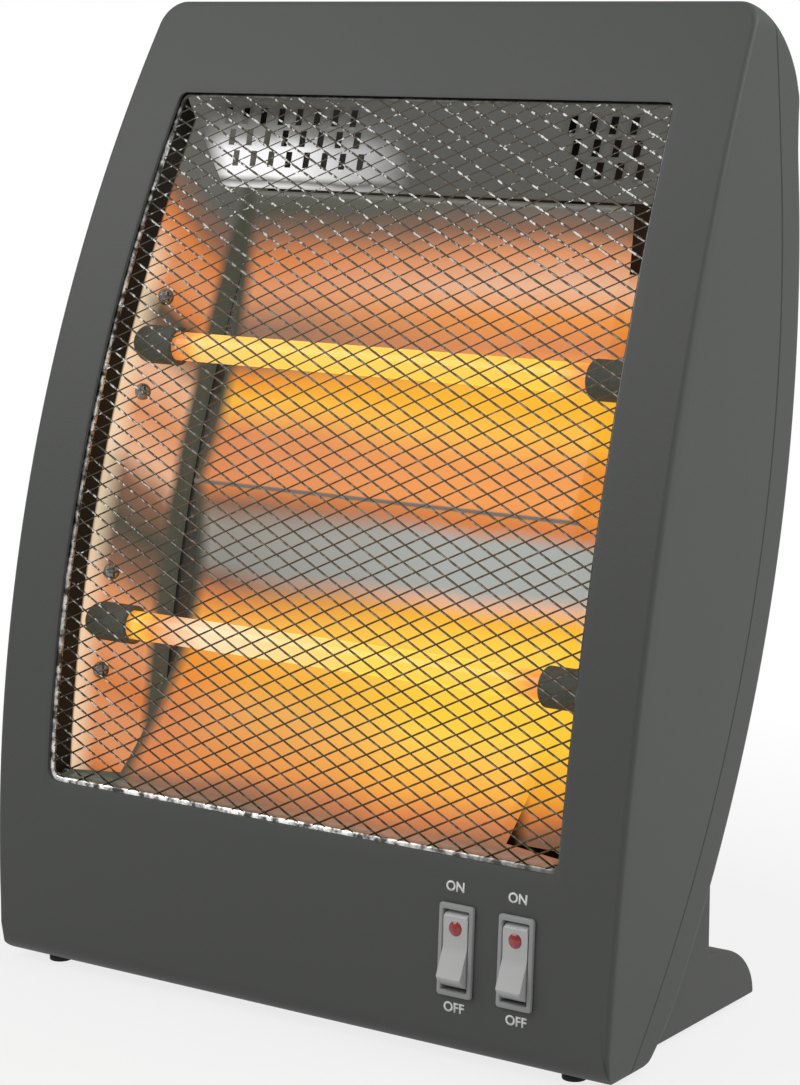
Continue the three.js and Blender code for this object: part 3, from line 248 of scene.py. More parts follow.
def make_piece(node, points, faces, finish, slot, body="heater", closed=True, sharp=35):
    """A mesh object from points in the heater's frame, riding on a body in its CAD node's place."""
    mesh = bpy.data.meshes.new("heater_" + node)
    mesh.from_pydata(settle(points).tolist(), [], [list(f) for f in faces])
    weld(mesh, 1e-6, closed)
    mesh.materials.append(finish)
    made = bpy.data.objects.new("heater_" + node, mesh)
    scene.collection.objects.link(made)
    soften(made, sharp)
    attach(made, body)
    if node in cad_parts:
        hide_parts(node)
    return made


def rise(value, start, end):
    """0 at the start, 1 at the end, and even between."""
    return np.clip((value - start) / (end - start), 0, 1)


def half_width(z, inset=0):
    """A straight taper from the bottom's half width to the top's, plus a parabola that bows it out."""
    t = z / overall_height
    return bottom_half - side_taper * t + side_bow * t * (1 - t) - inset


def back_depth(z, inset=0):
    """An arc about a centre at the back's top, less an inset, and upright above that."""
    below = np.minimum(z, back_top) - back_top
    return body_depth - back_radius + np.sqrt((back_radius - inset) ** 2 - below ** 2)


def face_depth(z, depth=0):
    """The face's arc, or the rolled heel under it: a radius less the height of a right triangle."""
    arc = face_radius - np.sqrt((face_radius - depth) ** 2 - (z - face_centre) ** 2)
    drop = np.clip(floor_gap + heel - z, 0, heel - depth)
    return np.maximum(arc, heel - np.sqrt((heel - depth) ** 2 - drop ** 2))


def outline(low, high, inset, low_corner, high_corner):
    """A loop in (x, z): a straight bottom, a quarter circle, a bowed side, a quarter circle and a
    straight top, then the same mirrored. Each stretch has a fixed count, so that two loops match."""
    flat, turn, side = 14, 13, 44
    low_z, high_z = low + low_corner, high - high_corner
    low_x, high_x = half_width(low_z, inset) - low_corner, half_width(high_z, inset) - high_corner
    bend = np.linspace(0, pi / 2, turn)
    heights = np.linspace(low_z, high_z, side)
    x = np.concatenate([np.linspace(0, low_x, flat)[:-1], low_x + low_corner * np.sin(bend),
                        half_width(heights, inset)[1:-1], high_x + high_corner * np.cos(bend),
                        np.linspace(high_x, 0, flat)[1:]])
    z = np.concatenate([np.full(flat - 1, low), low_z - low_corner * np.cos(bend), heights[1:-1],
                        high_z + high_corner * np.sin(bend), np.full(flat - 1, high)])
    return np.stack([np.concatenate([x, -x[-2:0:-1]]), np.concatenate([z, z[-2:0:-1]])], -1)


def casing_loop(inset):
    """The casing's outline, drawn in by an inset that its corners' radii lose too."""
    return outline(floor_gap + inset, overall_height - inset, inset,
                   *(max(corner - inset, 0.5) for corner in casing_corners))


def window_loop(margin):
    """The window's outline, grown by a margin that its corners' radii gain too."""
    return outline(window_low - margin, window_high + margin, side_bezel - margin,
                   *(max(corner + margin, 1) for corner in window_corners))


def under_top(x, y, z, inset=0):
    """Sinks the highest part of a loop as the top's rear arc falls, and follows the sides' bow."""
    fall = top_edge - inset - np.sqrt(np.clip((top_edge - inset) ** 2
                                              - np.maximum(y - body_depth + top_edge, 0) ** 2, 0, None))
    sunk = z - fall * rise(z, 300, 365.5)
    return np.stack(np.broadcast_arrays(x * half_width(sunk) / half_width(z), y, sunk), -1)


def on_face(loop, depth=0):
    """A loop's (x, z) laid on the face's arc, or on the arc that lies a depth behind it."""
    return under_top(loop[..., 0], face_depth(loop[..., 1], depth), loop[..., 1])


def on_wall(loop, y, inset=0):
    """A loop's (x, z) at a depth y, under the top's arc less an inset."""
    return under_top(loop[..., 0], y, loop[..., 1], inset)


outer, inner, inner_edge = casing_loop(0), casing_loop(edge), casing_loop(wall)
low_share = rise(outer[:, 1], 18, 6)
edge_radius = edge - (edge - foot_edge) * low_share
front_edge = face_depth(outer[:, 1])
seam = back_depth(outer[:, 1], seam_inset)
shrunk = outer + (inner - outer) * (edge_radius / edge)[:, None]
lip, rim = window_loop(window_round), window_loop(rebate)
roll = np.linspace(0, pi / 2, 10)[1:]
turn_start = 0.863  # the share of the way out at which the heel's turn begins
reach = np.concatenate([np.linspace(0, turn_start, 10), 1 - (1 - turn_start) * (1 - np.sin(roll))])

# From the rebate out over the face, round the edge, back to the seam, and forward again inside.
rings = [on_face(rim, wall), on_face(rim, rebate_depth), on_face(window_loop(0), rebate_depth),
            on_face(window_loop(0), window_round), on_face(window_loop(0.13), 0.13)]
rings += [on_face(lip + (shrunk - lip) * t) for t in reach]
for phi in np.linspace(0, pi / 2, 7)[1:]:
    in_share = (edge_radius * (1 - sin(phi)) / edge)[:, None]
    on_the_face = on_face(outer + (inner - outer) * in_share)
    on_the_side = on_wall(outer, front_edge + edge_radius * (1 - cos(phi)))
    rings.append(on_the_face + on_the_side - on_face(outer))
start = front_edge + edge_radius
rings += [on_wall(outer, start + (seam - seam_step - start) * t) for t in np.linspace(0, 1, 15)[1:]]
rings += [on_wall(casing_loop(seam_step), seam, seam_step), on_wall(inner_edge, seam, wall)]
inner_start = np.minimum(face_depth(inner_edge[:, 1], wall) + 1, seam - 1)
rings += [on_wall(inner_edge, seam + (inner_start - seam) * t, wall) for t in np.linspace(0, 1, 8)[1:]]
rings += [on_face(inner_edge + (rim - inner_edge) * t, wall) for t in 1 - reach[::-1][1:-1]]
shell_points = np.array(rings)


def ring_faces(points):
    """Faces of a surface closed both round its loops and from its last loop to its first."""
    rows, columns = points.shape[:2]
    return grid_faces(rows + 1, columns, loop=True) % (rows * columns)


def noise(place, scale, detail=2):
    """Fractal noise from 0 to 1, with about so many cells to a metre."""
    return place.node("TexNoise", {}, {"Vector": place, "Scale": scale, "Detail": detail})


def mixed(share, first, second):
    """The first colour where the share is 0, the second where it is 1."""
    return share.node("Mix", {"data_type": "RGBA"}, {"Factor": share, "A": first, "B": second})


def bumped(height, strength, distance):
    """A normal that tilts with the slope of a height of so many metres."""
    return height.node("Bump", {}, {"Strength": strength, "Distance": distance, "Height": height})


def surface(link, colour, roughness, others, glow=None, strength=1):
    """Ends a finish's tree in a Principled surface with those values, and a glow if one is given."""
    values = {"Base Color": colour, "Roughness": roughness, **others}
    if glow:
        values.update({"Emission Color": glow, "Emission Strength": strength})
    link.node("OutputMaterial", {}, {"Surface": link.node("BsdfPrincipled", {}, values)})


def cells(place, scale):
    """Distance from the nearest cell's middle, with about so many cells to a metre."""
    return place.node("TexVoronoi", {}, {"Vector": place, "Scale": scale})["Distance"]


def grained_plastic(name, colour, grain=0.00016, gloss=0.5):
    """Moulded plastic: a fine cell grain in the bump, and a slow drift in tone and gloss."""
    made, place = new_finish(name)
    fine, drift = noise(place, 2600), noise(place, 9, 3)
    lighter = tuple(min(1, c * 1.14) for c in colour[:3]) + (1,)
    surface(place, mixed(drift * 0.8 + fine * 0.2, colour, lighter), gloss + drift * 0.12, {
        "Specular IOR Level": 0.4, "Normal": bumped(cells(place, 1500) * 0.7 + fine * 0.3, 0.3, grain)})
    return made


casing_plastic = grained_plastic("grained casing plastic", rgb(70, 72, 70))
shell = make_piece("front_shell", shell_points, ring_faces(shell_points), casing_plastic, "casing_plastic",
                   sharp=40)


def bars(low, high):
    """Closed boxes from arrays of opposite corners, as points and faces."""
    low, high = np.asarray(low, float), np.asarray(high, float)
    pick = np.array([(0, 0, 0), (1, 0, 0), (1, 1, 0), (0, 1, 0), (0, 0, 1), (1, 0, 1), (1, 1, 1), (0, 1, 1)])
    points = low[:, None] * (1 - pick) + high[:, None] * pick
    return points.reshape(-1, 3), box_faces(len(low))


def box_faces(count):
    """The six sides of each of so many boxes with eight points."""
    sides = np.array([(0, 3, 2, 1), (4, 5, 6, 7), (0, 1, 5, 4), (1, 2, 6, 5), (2, 3, 7, 6), (3, 0, 4, 7)])
    return (sides[None] + 8 * np.arange(count)[:, None, None]).reshape(-1, 4)


def evaluated(piece):
    """A new mesh of an object as its modifiers leave it."""
    bpy.context.view_layer.update()
    return bpy.data.meshes.new_from_object(piece.evaluated_get(bpy.context.evaluated_depsgraph_get()))


def carve(piece, points, faces, operation="DIFFERENCE", sharp=35):
    """Cuts a closed shape out of a piece, or joins it on, and keeps the result as its mesh."""
    tool = make_piece("tool", points, faces, piece.data.materials[0], "casing_plastic")
    step = piece.modifiers.new("step", "BOOLEAN")
    step.operation = operation
    step.solver = "EXACT"
    step.object = tool
    done = evaluated(piece)
    weld(done, 5e-6)
    piece.modifiers.clear()
    piece.data = done
    bpy.data.objects.remove(tool)
    soften(piece, sharp)


switch_z = 42.3
switch_x = {"left": 76.4, "right": 101.4}
lean = asin((switch_z - face_centre) / face_radius)
hole_half = np.array((6.5, 9, 16.1))


def at_switch(points, x, tilt=0, depth=0):
    """From a switch's own frame, y inwards and z up the face, to the bezel: turned by the tilt about a
    pin at the depth, then by the face's lean."""
    points = np.asarray(points, float)
    for angle, offset in ((tilt, (0, depth, 0)), (lean, under_top(x, face_depth(switch_z), switch_z))):
        c, s = cos(angle), sin(angle)
        points = np.stack([points[..., 0], points[..., 1] * c + points[..., 2] * s,
                           points[..., 2] * c - points[..., 1] * s], -1) + offset
    return points


for x in switch_x.values():
    hole, hole_faces = bars([-hole_half], [hole_half])
    carve(shell, at_switch(hole, x), hole_faces, sharp=40)


# ---- Rear cover ----
# A shallow tray in the same plastic that closes the casing from behind, with three columns of vent
# slots, a finger recess for carrying, and deep bores for the four screws that hold it on.

cover_edge = 8
high_share = rise(outer[:, 1], 330, 365)
foot_radius, side_radius, top_radius = 8, 3, 0.3
cover_radius = side_radius + (foot_radius - side_radius) * low_share
cover_radius = cover_radius * (1 - high_share) + top_radius * high_share


def back_loop(inset):
    """The casing's loop as it lies on the back, under the top's fallen arc."""
    return on_wall(casing_loop(inset), body_depth)[:, ::2]


def on_back(loop, depth=0):
    """A point of the back at the height of the loop, moved forward by the depth."""
    return np.stack([loop[..., 0], back_depth(loop[..., 1]) - depth, loop[..., 1]], -1)


pressed, pressed_in, inner_pressed = back_loop(0), back_loop(cover_edge), back_loop(wall)
spine = np.stack([0 * pressed[:, 0], np.clip(pressed[:, 1], 60, 300)], -1)
back_edge = back_depth(pressed[:, 1])
cover_start = back_depth(outer[:, 1], seam_inset - gap)
first, last = cover_start + seam_step, back_edge - cover_radius

# From the seam back over the side, round the edge, in to the spine, and out and forward again inside.
# The strip of faces between the outer and the inner spine is left out, as both lie on one line.
rings = [on_wall(inner_edge, cover_start, wall), on_wall(casing_loop(seam_step), cover_start, seam_step)]
rings += [on_wall(outer, first + (last - first) * t) for t in np.linspace(0, 1, 14)]
for phi in np.linspace(pi / 2, 0, 9)[1:]:
    in_share = (cover_radius * (1 - sin(phi)) / cover_edge)[:, None]
    behind = on_back(pressed + (pressed_in - pressed) * in_share)
    beside = on_wall(outer, back_edge - cover_radius * (1 - cos(phi)))
    rings.append(behind + beside - on_back(pressed))
shrunk = pressed + (pressed_in - pressed) * (cover_radius / cover_edge)[:, None]
rings += [on_back(shrunk + (spine - shrunk) * t) for t in np.linspace(0, 1, 12)[1:]]
outer_rows = len(rings)
rings += [on_back(spine + (inner_pressed - spine) * t, wall) for t in np.linspace(0, 1, 12)]
rear = back_edge - wall
rings += [on_wall(inner_edge, rear + (cover_start - rear) * t, wall) for t in np.linspace(0, 1, 6)[1:-1]]
cover_points = np.array(rings)
columns = cover_points.shape[1]
spine_strip = slice((outer_rows - 1) * columns, outer_rows * columns)
cover_faces = np.delete(ring_faces(cover_points), spine_strip, 0)
cover = make_piece("rear_cover", cover_points, cover_faces, casing_plastic, "casing_plastic")


def lathe(profile, sides=32):
    """Circles about the y axis for each (radius, y), joined into a closed surface."""
    turn = 2 * pi * np.arange(sides) / sides
    radius, along = np.asarray(profile, float).T
    points = np.stack([radius[:, None] * np.cos(turn), along[:, None] + 0 * turn,
                       radius[:, None] * np.sin(turn)], -1)
    return points.reshape(-1, 3), grid_faces(len(radius), sides, loop=True)


def rods(centres, radius, y0, y1):
    """Closed round bars along y through centres in (x, z)."""
    points, faces = [], []
    for (x, z), near, far in zip(centres, y0, y1):
        bar, bar_faces = lathe([(0, near), (radius, near), (radius, far), (0, far)], 28)
        faces.append(bar_faces + len(bar) * len(points))
        points.append(bar + (x, 0, z))
    return np.concatenate(points), np.concatenate(faces)


grip_depth, grip_half, grip_low, grip_high = 116, 46, 300, 325
past_back = 150
carve(cover, *bars([(-grip_half - wall, grip_depth - wall, grip_low - wall)],
                   [(grip_half + wall, 131.6, grip_high + wall)]), "UNION")
cover_screw_z = {"top": 345, "bottom": 22}
screw_inset, screw_sink, boss_radius, head_bore = 9.4, 4, 4.6, 3.72
cover_screws = [(side * half_width(z, screw_inset), z) for z in cover_screw_z.values() for side in (-1, 1)]
screw_backs = np.array([back_depth(z) - wall for _, z in cover_screws])
carve(cover, *rods(cover_screws, boss_radius, screw_backs - 10, screw_backs + 1), "UNION")
bush, bush_boss, bush_hole = (-70, 34), 9.5, 6
bush_face = back_depth(bush[1] + bush_boss) + 1.2
carve(cover, *rods([bush], bush_boss, [bush_face - 12], [bush_face]), "UNION")

vent_z = np.array([98, 108, 118, 222, 232, 242, 252, 262], float)
slot_x, slot_z = (a.ravel() for a in np.meshgrid((-54, 0, 54), vent_z))
slot_y = back_depth(slot_z)
lows = np.stack([slot_x - 24, slot_y - 12, slot_z - 2], -1)
highs = np.stack([slot_x + 24, slot_y + 10, slot_z + 2], -1)
carve(cover, *bars(np.vstack([lows, [(-grip_half, grip_depth, grip_low)]]),
                   np.vstack([highs, [(grip_half, past_back, grip_high)]])))
carve(cover, *rods(cover_screws, head_bore, screw_backs - screw_sink, [past_back] * 4))
carve(cover, *rods([bush], bush_hole, [bush_face - 40], [bush_face + 5]))
tip_y = back_depth(floor_gap) - 8.6
plunger_bore, plunger_faces = lathe([(0, -3), (4.3, -3), (4.3, 9), (0, 9)])
carve(cover, plunger_bore[:, (0, 2, 1)] + (0, tip_y, 0), plunger_faces)


# ---- Mesh guard ----
# Bright expanded metal: slit sheet pulled out into diamonds 12.5 by 6.2 mm, whose strands lie tilted
# and meet in thicker knuckles. A rough folded rim seats it in the rebate behind the bezel. The wires'
# glints and the rim's bright flecks are painted highlights, and the two strand families wear a painted
# shade copy and a painted light copy of one plated finish.

diamond = (12.5, 6.2)
net_depth = 2.2
strand_half, knuckle_extra, strand_thick = 0.27, 0.15, 0.2
s_low, s_high = 71.6, 350


def at_arc(x, s, depth):
    """A point s along the face's arc and a depth behind it."""
    angle = s / face_radius
    radius = face_radius - depth
    return np.stack(np.broadcast_arrays(x, face_radius - radius * np.cos(angle),
                                        face_centre + radius * np.sin(angle)), -1)


def arc_height(s):
    """The height over the floor of a point s along the arc."""
    return face_centre + face_radius * np.sin(s / face_radius)


def strands(direction, tilt):
    """Straight strands that lean one way across the arc: flat bars, wide at the knuckles and narrow
    between, that shrink to a point behind the rim."""
    step = diamond[1] / 4
    s = np.arange(s_low - 2, s_high + 2 + step, step)
    slope = direction * diamond[0] / diamond[1]
    starts = np.arange(-60, 61) * diamond[0] - slope * (s_low + s_high) / 2
    x = starts[:, None] + slope * s
    inside = np.abs(x) < half_width(arc_height(s), side_bezel) + 2
    inside[:, (0, -1)] = False
    kept = inside.any(1)
    x, inside = x[kept], inside[kept]
    along = np.array([slope, 1]) / hypot(slope, 1)
    across = np.array([-along[1], along[0]]) * direction
    u, v = np.array(square, float).T[:, :, None, None]
    half = inside * (strand_half + knuckle_extra * (1 - np.arange(len(s)) % 2)) * u
    thick = inside * strand_thick * v
    flat, deep = half * cos(tilt) - thick * sin(tilt), half * sin(tilt) + thick * cos(tilt)
    points = at_arc(x + flat * across[0], s + flat * across[1], net_depth + deep)
    index = np.arange(x.size * 4).reshape(*x.shape, 4)
    a, b = index[:, :-1], index[:, 1:]
    used = inside[:, :-1] | inside[:, 1:]
    quads = [np.stack([a[..., k], a[..., (k + 1) % 4], b[..., (k + 1) % 4], b[..., k]], -1)[used]
             for k in range(4)]
    return np.moveaxis(points, 0, 2).reshape(-1, 3), np.concatenate(quads)


def face_place(place):
    """The shaded point in millimetres, from its direction and distance seen from the arc's centre: x
    across, s along the arc and the depth behind it."""
    split = place.node("SeparateXYZ", {}, {"Vector": place})
    forward = (0.001 * face_radius + front_line) - split["Y"]
    upward = split["Z"] - 0.001 * face_centre
    reach = place.node("CombineXYZ", {}, {"X": forward, "Y": upward})
    span = place.node("VectorMath", {"operation": "LENGTH"}, {0: reach})["Value"]
    return split["X"] * 1000, upward.maths("ARCTAN2", forward) * face_radius, face_radius - span * 1000


def plated(name, dull, rarity):
    """Plated wire with painted highlights: bright glints in its colour where a fine noise is high, faded in
    the lower part, where the glow outshines them."""
    made, place = new_finish(name)
    x, s, _ = face_place(place)
    streak = noise(place, 420, 3)
    clear = s.between(270, 305).maths("MAXIMUM", x.between(-70, -100))
    glint = streak.between(rarity, rarity + 0.1) * (clear * 0.8 + 0.2)
    surface(place, mixed(glint, dull, rgb(246, 246, 243)), 0.2 + streak * 0.2, {"Metallic": 1})
    return made


# The rising strands get a painted shade copy of the finish, darker and with fewer glints, and the falling
# strands a painted light copy.
rising_wire_painted_shade = plated("plated wire in shade", rgb(84, 78, 68), 0.6)
falling_wire_painted_light = plated("plated wire in light", rgb(104, 98, 88), 0.5)

# The rim's bright flecks are painted highlights in its colour, fading out towards the right and the top; the
# same noise also varies its roughness.
rim_metal, place = new_finish("folded rim")
x, s, _ = face_place(place)
crimp_and_highlight_noise = noise(place, 300)
shine = crimp_and_highlight_noise.between(0.38, 0.62) * x.between(124, 10) * s.between(352, 330)
tone = mixed(shine, rgb(78, 78, 75), rgb(250, 250, 248))
surface(place, tone, 0.25 + crimp_and_highlight_noise * 0.2, {"Metallic": 1})

right_points, right_faces = strands(1, radians(50))
left_points, left_faces = strands(-1, radians(-28))
rim_section = [(6.8, 1.75), (-1, 1.75), (-1.5, 2.1), (-1.5, 3), (6.8, 3)]
rim_points = np.array([on_face(window_loop(margin), depth) for margin, depth in rim_section])
net_points = np.concatenate([right_points, left_points, rim_points.reshape(-1, 3)])
rim_faces = ring_faces(rim_points) + len(right_points) + len(left_points)
net_faces = np.concatenate([right_faces, left_faces + len(right_points), rim_faces])
used, renumbered = np.unique(net_faces, return_inverse=True)
guard = make_piece("mesh_guard", net_points[used], renumbered.reshape(-1, 4), rising_wire_painted_shade, "guard_wire")
guard.data.materials.append(falling_wire_painted_light)
guard.data.materials.append(rim_metal)
which = np.ones(len(guard.data.polygons), int)
which[:len(right_faces)] = 0
which[-len(rim_faces):] = 2
guard.data.polygons.foreach_set("material_index", which)


# ---- Reflectors ----
# Bright rolled aluminium sheet: two concave troughs behind the tubes that meet in a ridge, two flared
# side panels, and a folded top panel with slanted vents. The tubes' glow in the troughs, on the side
# panels and on the top panel is a painted reflection in the sheets' emission.

sheet = 0.9
side_lip, side_back = (109, 9), (91, 46)
flare = (side_lip[0] - side_back[0]) / (side_back[1] - side_lip[1])
ridge, fold = (35.7, 197.6), (28.3, 322.9)
trough_half = 88
tube_depth = 19.5
tubes = {"lower": 135.6, "upper": 249.8}
both_sides = ((-1, "left"), (1, "right"))


def bow(s):
    """How much wider the window is at s than at its top."""
    return half_width(arc_height(s)) - half_width(arc_height(s_high))


def panel_half(depth, s):
    """Half the gap between the side panels: a straight line from lip to back, plus the bow."""
    return side_lip[0] - (depth - side_lip[1]) * flare + bow(s)


def bands(value, stops):
    """A colour ramp whose stops are (place, colour) in the value's own unit."""
    low, high = stops[0][0], stops[-1][0]
    ramp = [((place - low) / (high - low), colour) for place, colour in stops]
    return value.node("ValToRGB", {"stops": ramp}, {"Fac": value.between(low, high)})


def rolling(place, along, across, detail):
    """Marks of rolling: noise that is long along x and fine across it, and a shallow bump from it."""
    stretched = place.node("Mapping", {}, {"Vector": place, "Scale": (along, across, across)})
    streak = noise(stretched, 1, detail)
    return streak, bumped(streak, 0.15, 0.0001)


def painted_glow_sheet(place, glow, strength=0.98):
    """Polished sheet with faint rolling marks, and a painted reflection of the tubes' glow in its emission.
    """
    streak, bump = rolling(place, 6, 700, 2)
    surface(place, rgb(58, 56, 52), 0.26 + streak * 0.16, {"Metallic": 1, "Normal": bump}, glow, strength)


dark = (0, 0, 0, 1)
slate, moss, umber = rgb(96, 95, 90), rgb(72, 74, 64), rgb(138, 98, 76)
burnt_orange, orange, amber = rgb(216, 126, 66), rgb(238, 146, 56), rgb(250, 170, 50)
yellow, gold, salmon = rgb(255, 206, 62), rgb(252, 184, 50), rgb(222, 146, 98)
blush, cream, steel_blue = rgb(234, 180, 144), rgb(250, 226, 190), rgb(168, 172, 168)


def painted_trough_glow(x, s, wave):
    """The painted reflection of the tubes' glow: bands along s, duller on the left and yellower on the right.
    """
    shifted = s + (wave - 0.5) * 12 - x * 0.03
    left = bands(shifted, [
        (72, moss), (79, umber), (85, burnt_orange), (108, burnt_orange), (124, orange), (142, amber), (153, burnt_orange),
        (160, umber), (168, rgb(140, 140, 134)), (182, rgb(148, 142, 132)), (191, umber), (198, burnt_orange),
        (222, burnt_orange), (236, gold), (246, orange), (254, umber), (268, umber), (282, salmon), (296, burnt_orange),
        (306, umber), (316, moss), (326, slate)])
    right = bands(shifted, [
        (72, umber), (79, burnt_orange), (88, amber), (108, yellow), (146, yellow), (155, gold), (161, blush),
        (167, steel_blue), (186, steel_blue), (193, burnt_orange), (202, orange), (216, orange), (228, gold),
        (246, gold), (258, orange), (264, burnt_orange), (276, orange), (288, blush), (300, salmon), (309, umber),
        (317, slate), (326, slate)])
    return mixed((x + (wave - 0.5) * 46).between(-72, 34), left, right)


# Painted light in the troughs' emission: the painted reflection of the tubes' glow, painted dark grey-green
# shade at the left end by the gap to the side panel, and a thin painted grey line along the ridge.
trough_sheet, place = new_finish("trough sheet")
x, s, _ = face_place(place)
wave = noise(place, 14)
left_end_painted_shade = (x + (wave - 0.5) * 3).between(7 - trough_half, 1 - trough_half)
glow = mixed(left_end_painted_shade, painted_trough_glow(x, s, wave), moss)
off_ridge = (s - ridge[1]).maths("ABSOLUTE")
painted_glow_sheet(place, mixed(off_ridge.between(1.1, 0.5), glow, rgb(112, 108, 100)))

# Painted light in the side panels' emission: a painted reflection of the glow, a painted cream highlight just
# behind the front edge below the top part, painted dark grey-green shade over the rear of the panel by the
# gap, and no glow in front of about 10 mm depth.
side_sheet, place = new_finish("side panel sheet")
x, s, depth = face_place(place)
wave = noise(place, 26, 3)
panel_glow = bands(s + (wave - 0.5) * 18 + (depth - 20) * 0.5, [
    (70, umber), (76, burnt_orange), (84, salmon), (100, salmon), (112, burnt_orange), (126, salmon), (146, salmon),
    (158, umber), (176, moss), (192, umber), (204, blush), (222, salmon), (240, blush), (254, umber),
    (262, moss), (268, burnt_orange), (282, salmon), (298, burnt_orange), (308, umber), (320, slate), (352, slate)])
lip_painted_highlight = depth.between(19, 12) * s.between(300, 280)
glow = mixed(lip_painted_highlight * 0.7, panel_glow, cream)
glow = mixed((depth + (wave - 0.5) * 5).between(36.5, 40), glow, moss)
painted_glow_sheet(place, mixed(depth.between(10.8, 10), glow, dark))

# Painted light in the top panel's emission: a painted white highlight in bands above the fold on the left,
# fading to grey towards the right, and slate grey at the far left end.
top_sheet, place = new_finish("top panel sheet")
x, s, _ = face_place(place)
wave = noise(place, 30)
painted_flash = bands(s + (wave - 0.5) * 5, [
    (320, slate), (323, rgb(225, 225, 225)), (324.6, rgb(120, 120, 118)), (326.5, rgb(255, 255, 255)),
    (334, rgb(250, 250, 252)), (339, rgb(140, 140, 138)), (346, rgb(70, 70, 67))])
glow = mixed((x + (wave - 0.5) * 30).between(-70, -4), painted_flash, rgb(80, 81, 78))
painted_glow_sheet(place, mixed(x.between(-96, -106), glow, slate), 1)


def thicken(piece, thickness=sheet):
    """The sheet's thickness, behind the side that its faces look to."""
    solid = piece.modifiers.new("sheet", "SOLIDIFY")
    solid.thickness = thickness * 0.001
    solid.offset = -1


def bowed(s0, d0, s1, d1, count, deepest=42.4):
    """A trough's line in (depth, s): a straight line plus a parabola to its deepest middle."""
    t = np.linspace(0, 1, count)
    swell = 4 * t * (1 - t) * (deepest - (d0 + d1) / 2)
    return np.stack([d0 + (d1 - d0) * t + swell, s0 + (s1 - s0) * t], -1)


flange_depth = 3.2
lip_line = np.array([(flange_depth, 67.6), (6.1, 71.6), (6.1, 73.6)])
lip_end = 77.6  # below this s the sheet runs out to the side panels
lower_line = bowed(73.6, 6.1, ridge[1], ridge[0], 60)
upper_line = bowed(ridge[1], ridge[0], fold[1] - 1.5, fold[0] + 0.9, 60)
line = np.concatenate([lip_line, lower_line[1:], upper_line[1:]])
half = np.where(line[:, 1] < lip_end, panel_half(line[:, 0], line[:, 1]) - gap, trough_half)
across = np.linspace(-1, 1, 41)
trough_points = at_arc(half[:, None] * across, line[:, 1:], line[:, :1])
thicken(make_piece("reflector_troughs", trough_points, grid_faces(len(line), 41), trough_sheet,
                   "mirror_aluminium", closed=False, sharp=50))

s = np.linspace(s_low - 4, s_high + 4, 80)
depths = np.linspace(flange_depth + 0.8, side_back[1], 24)
section = np.array([(side_lip[0] + 6.5, flange_depth), (side_lip[0] + 4, flange_depth - 0.2),
                    (side_lip[0] + 2.8, flange_depth + 0.1)]
                   + [(side_lip[0] - (d - side_lip[1]) * flare, d) for d in depths])
for side, label in both_sides:
    points = at_arc(side * (section[:, 0] + bow(s)[:, None]), s[:, None], section[None, :, 1])
    thicken(make_piece(f"reflector_side_{label}", points, grid_faces(len(s), len(section))[:, ::-side],
                       side_sheet, "mirror_aluminium", closed=False, sharp=50))

bend_line = np.array([(flange_depth, 354), (4, 350.6), (5.6, 348.6), (27.6, 323.7), (28.5, 322.2)])
slant = bend_line[2] + (bend_line[3] - bend_line[2]) * np.linspace(0, 1, 14)[1:, None]
fine = np.concatenate([bend_line[:3], slant, bend_line[4:]])
half = panel_half(fine[:, 0], fine[:, 1]) - gap
top_points = at_arc(half[:, None] * across, fine[:, 1:], fine[:, :1])
top_panel = make_piece("reflector_top", top_points, grid_faces(len(fine), 41)[:, ::-1], top_sheet,
                       "mirror_aluminium", closed=False, sharp=50)
slot_pitch, row_pitch = 8.6, 6.6
slot_columns = np.concatenate([-92 + slot_pitch * np.arange(8), 92 - slot_pitch * np.arange(4)])
slot_x, slot_s = (a.ravel() for a in np.meshgrid(slot_columns, fold[1] + 6 + row_pitch * np.arange(3)))
corners = np.array([(-3, 0), (0.4, 0), (3, 5.2), (-0.4, 5.2)])
near, far = (at_arc(slot_x[:, None] + corners[:, 0], slot_s[:, None] + corners[:, 1], np.full(1, d))
             for d in (0, 48))
carve(top_panel, np.concatenate([near, far], 1).reshape(-1, 3), box_faces(len(slot_x)), sharp=50)
thicken(top_panel)


# ---- Heat shield ----
# A plain rolled steel sheet across the back of the reflectors, which keeps the rear cover cool.

def plain_steel(name, colour, gloss=0.38):
    """Rolled or plated steel: long rolling streaks in the tone and the gloss."""
    made, place = new_finish(name)
    streak, bump = rolling(place, 12, 500, 4)
    dull = tuple(c * 0.7 for c in colour[:3]) + (1,)
    surface(place, mixed(streak, dull, colour), gloss + streak * 0.15, {"Metallic": 1, "Normal": bump})
    return made


def dress(node, finish):
    """Gives a CAD node its finish."""
    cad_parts[node].material_slots[0].material = finish


dress("thermal_cutout", plain_steel("rolled sheet steel", rgb(128, 128, 122)))

# The shield's front has a painted glow on the right beyond x = 76, a pool of the troughs' painted light where
# it would leak past their edge; elsewhere it has no glow.
shield_steel, place = new_finish("shield steel")
x, s, depth = face_place(place)
streak = noise(place, 300, 3)
painted_light_leak = x.between(70, 76) * depth.between(47, 46.6)
glow = mixed(painted_light_leak, dark, painted_trough_glow(x, s, noise(place, 14)))
tone = mixed(streak, rgb(90, 90, 86), rgb(128, 128, 122))
surface(place, tone, 0.38 + streak * 0.15, {"Metallic": 1}, glow, 0.85)

shield_low, shield_high, shield_half, shield_depth = 70.1, 300, 100, 46.3
shield_s = np.linspace(shield_low, shield_high, 60)[:, None]
shield_points = at_arc(across * shield_half, shield_s, np.full(1, shield_depth))
thicken(make_piece("heat_shield", shield_points, grid_faces(60, 41), shield_steel, "sheet_steel",
                   closed=False, sharp=50))


# ---- Quartz tubes and heating coils ----
# Two clear quartz tubes of 11 mm, each with a coil of resistance wire that glows yellow from end to
# end. Their ends sit in ceramic caps, and the glass is redder there.

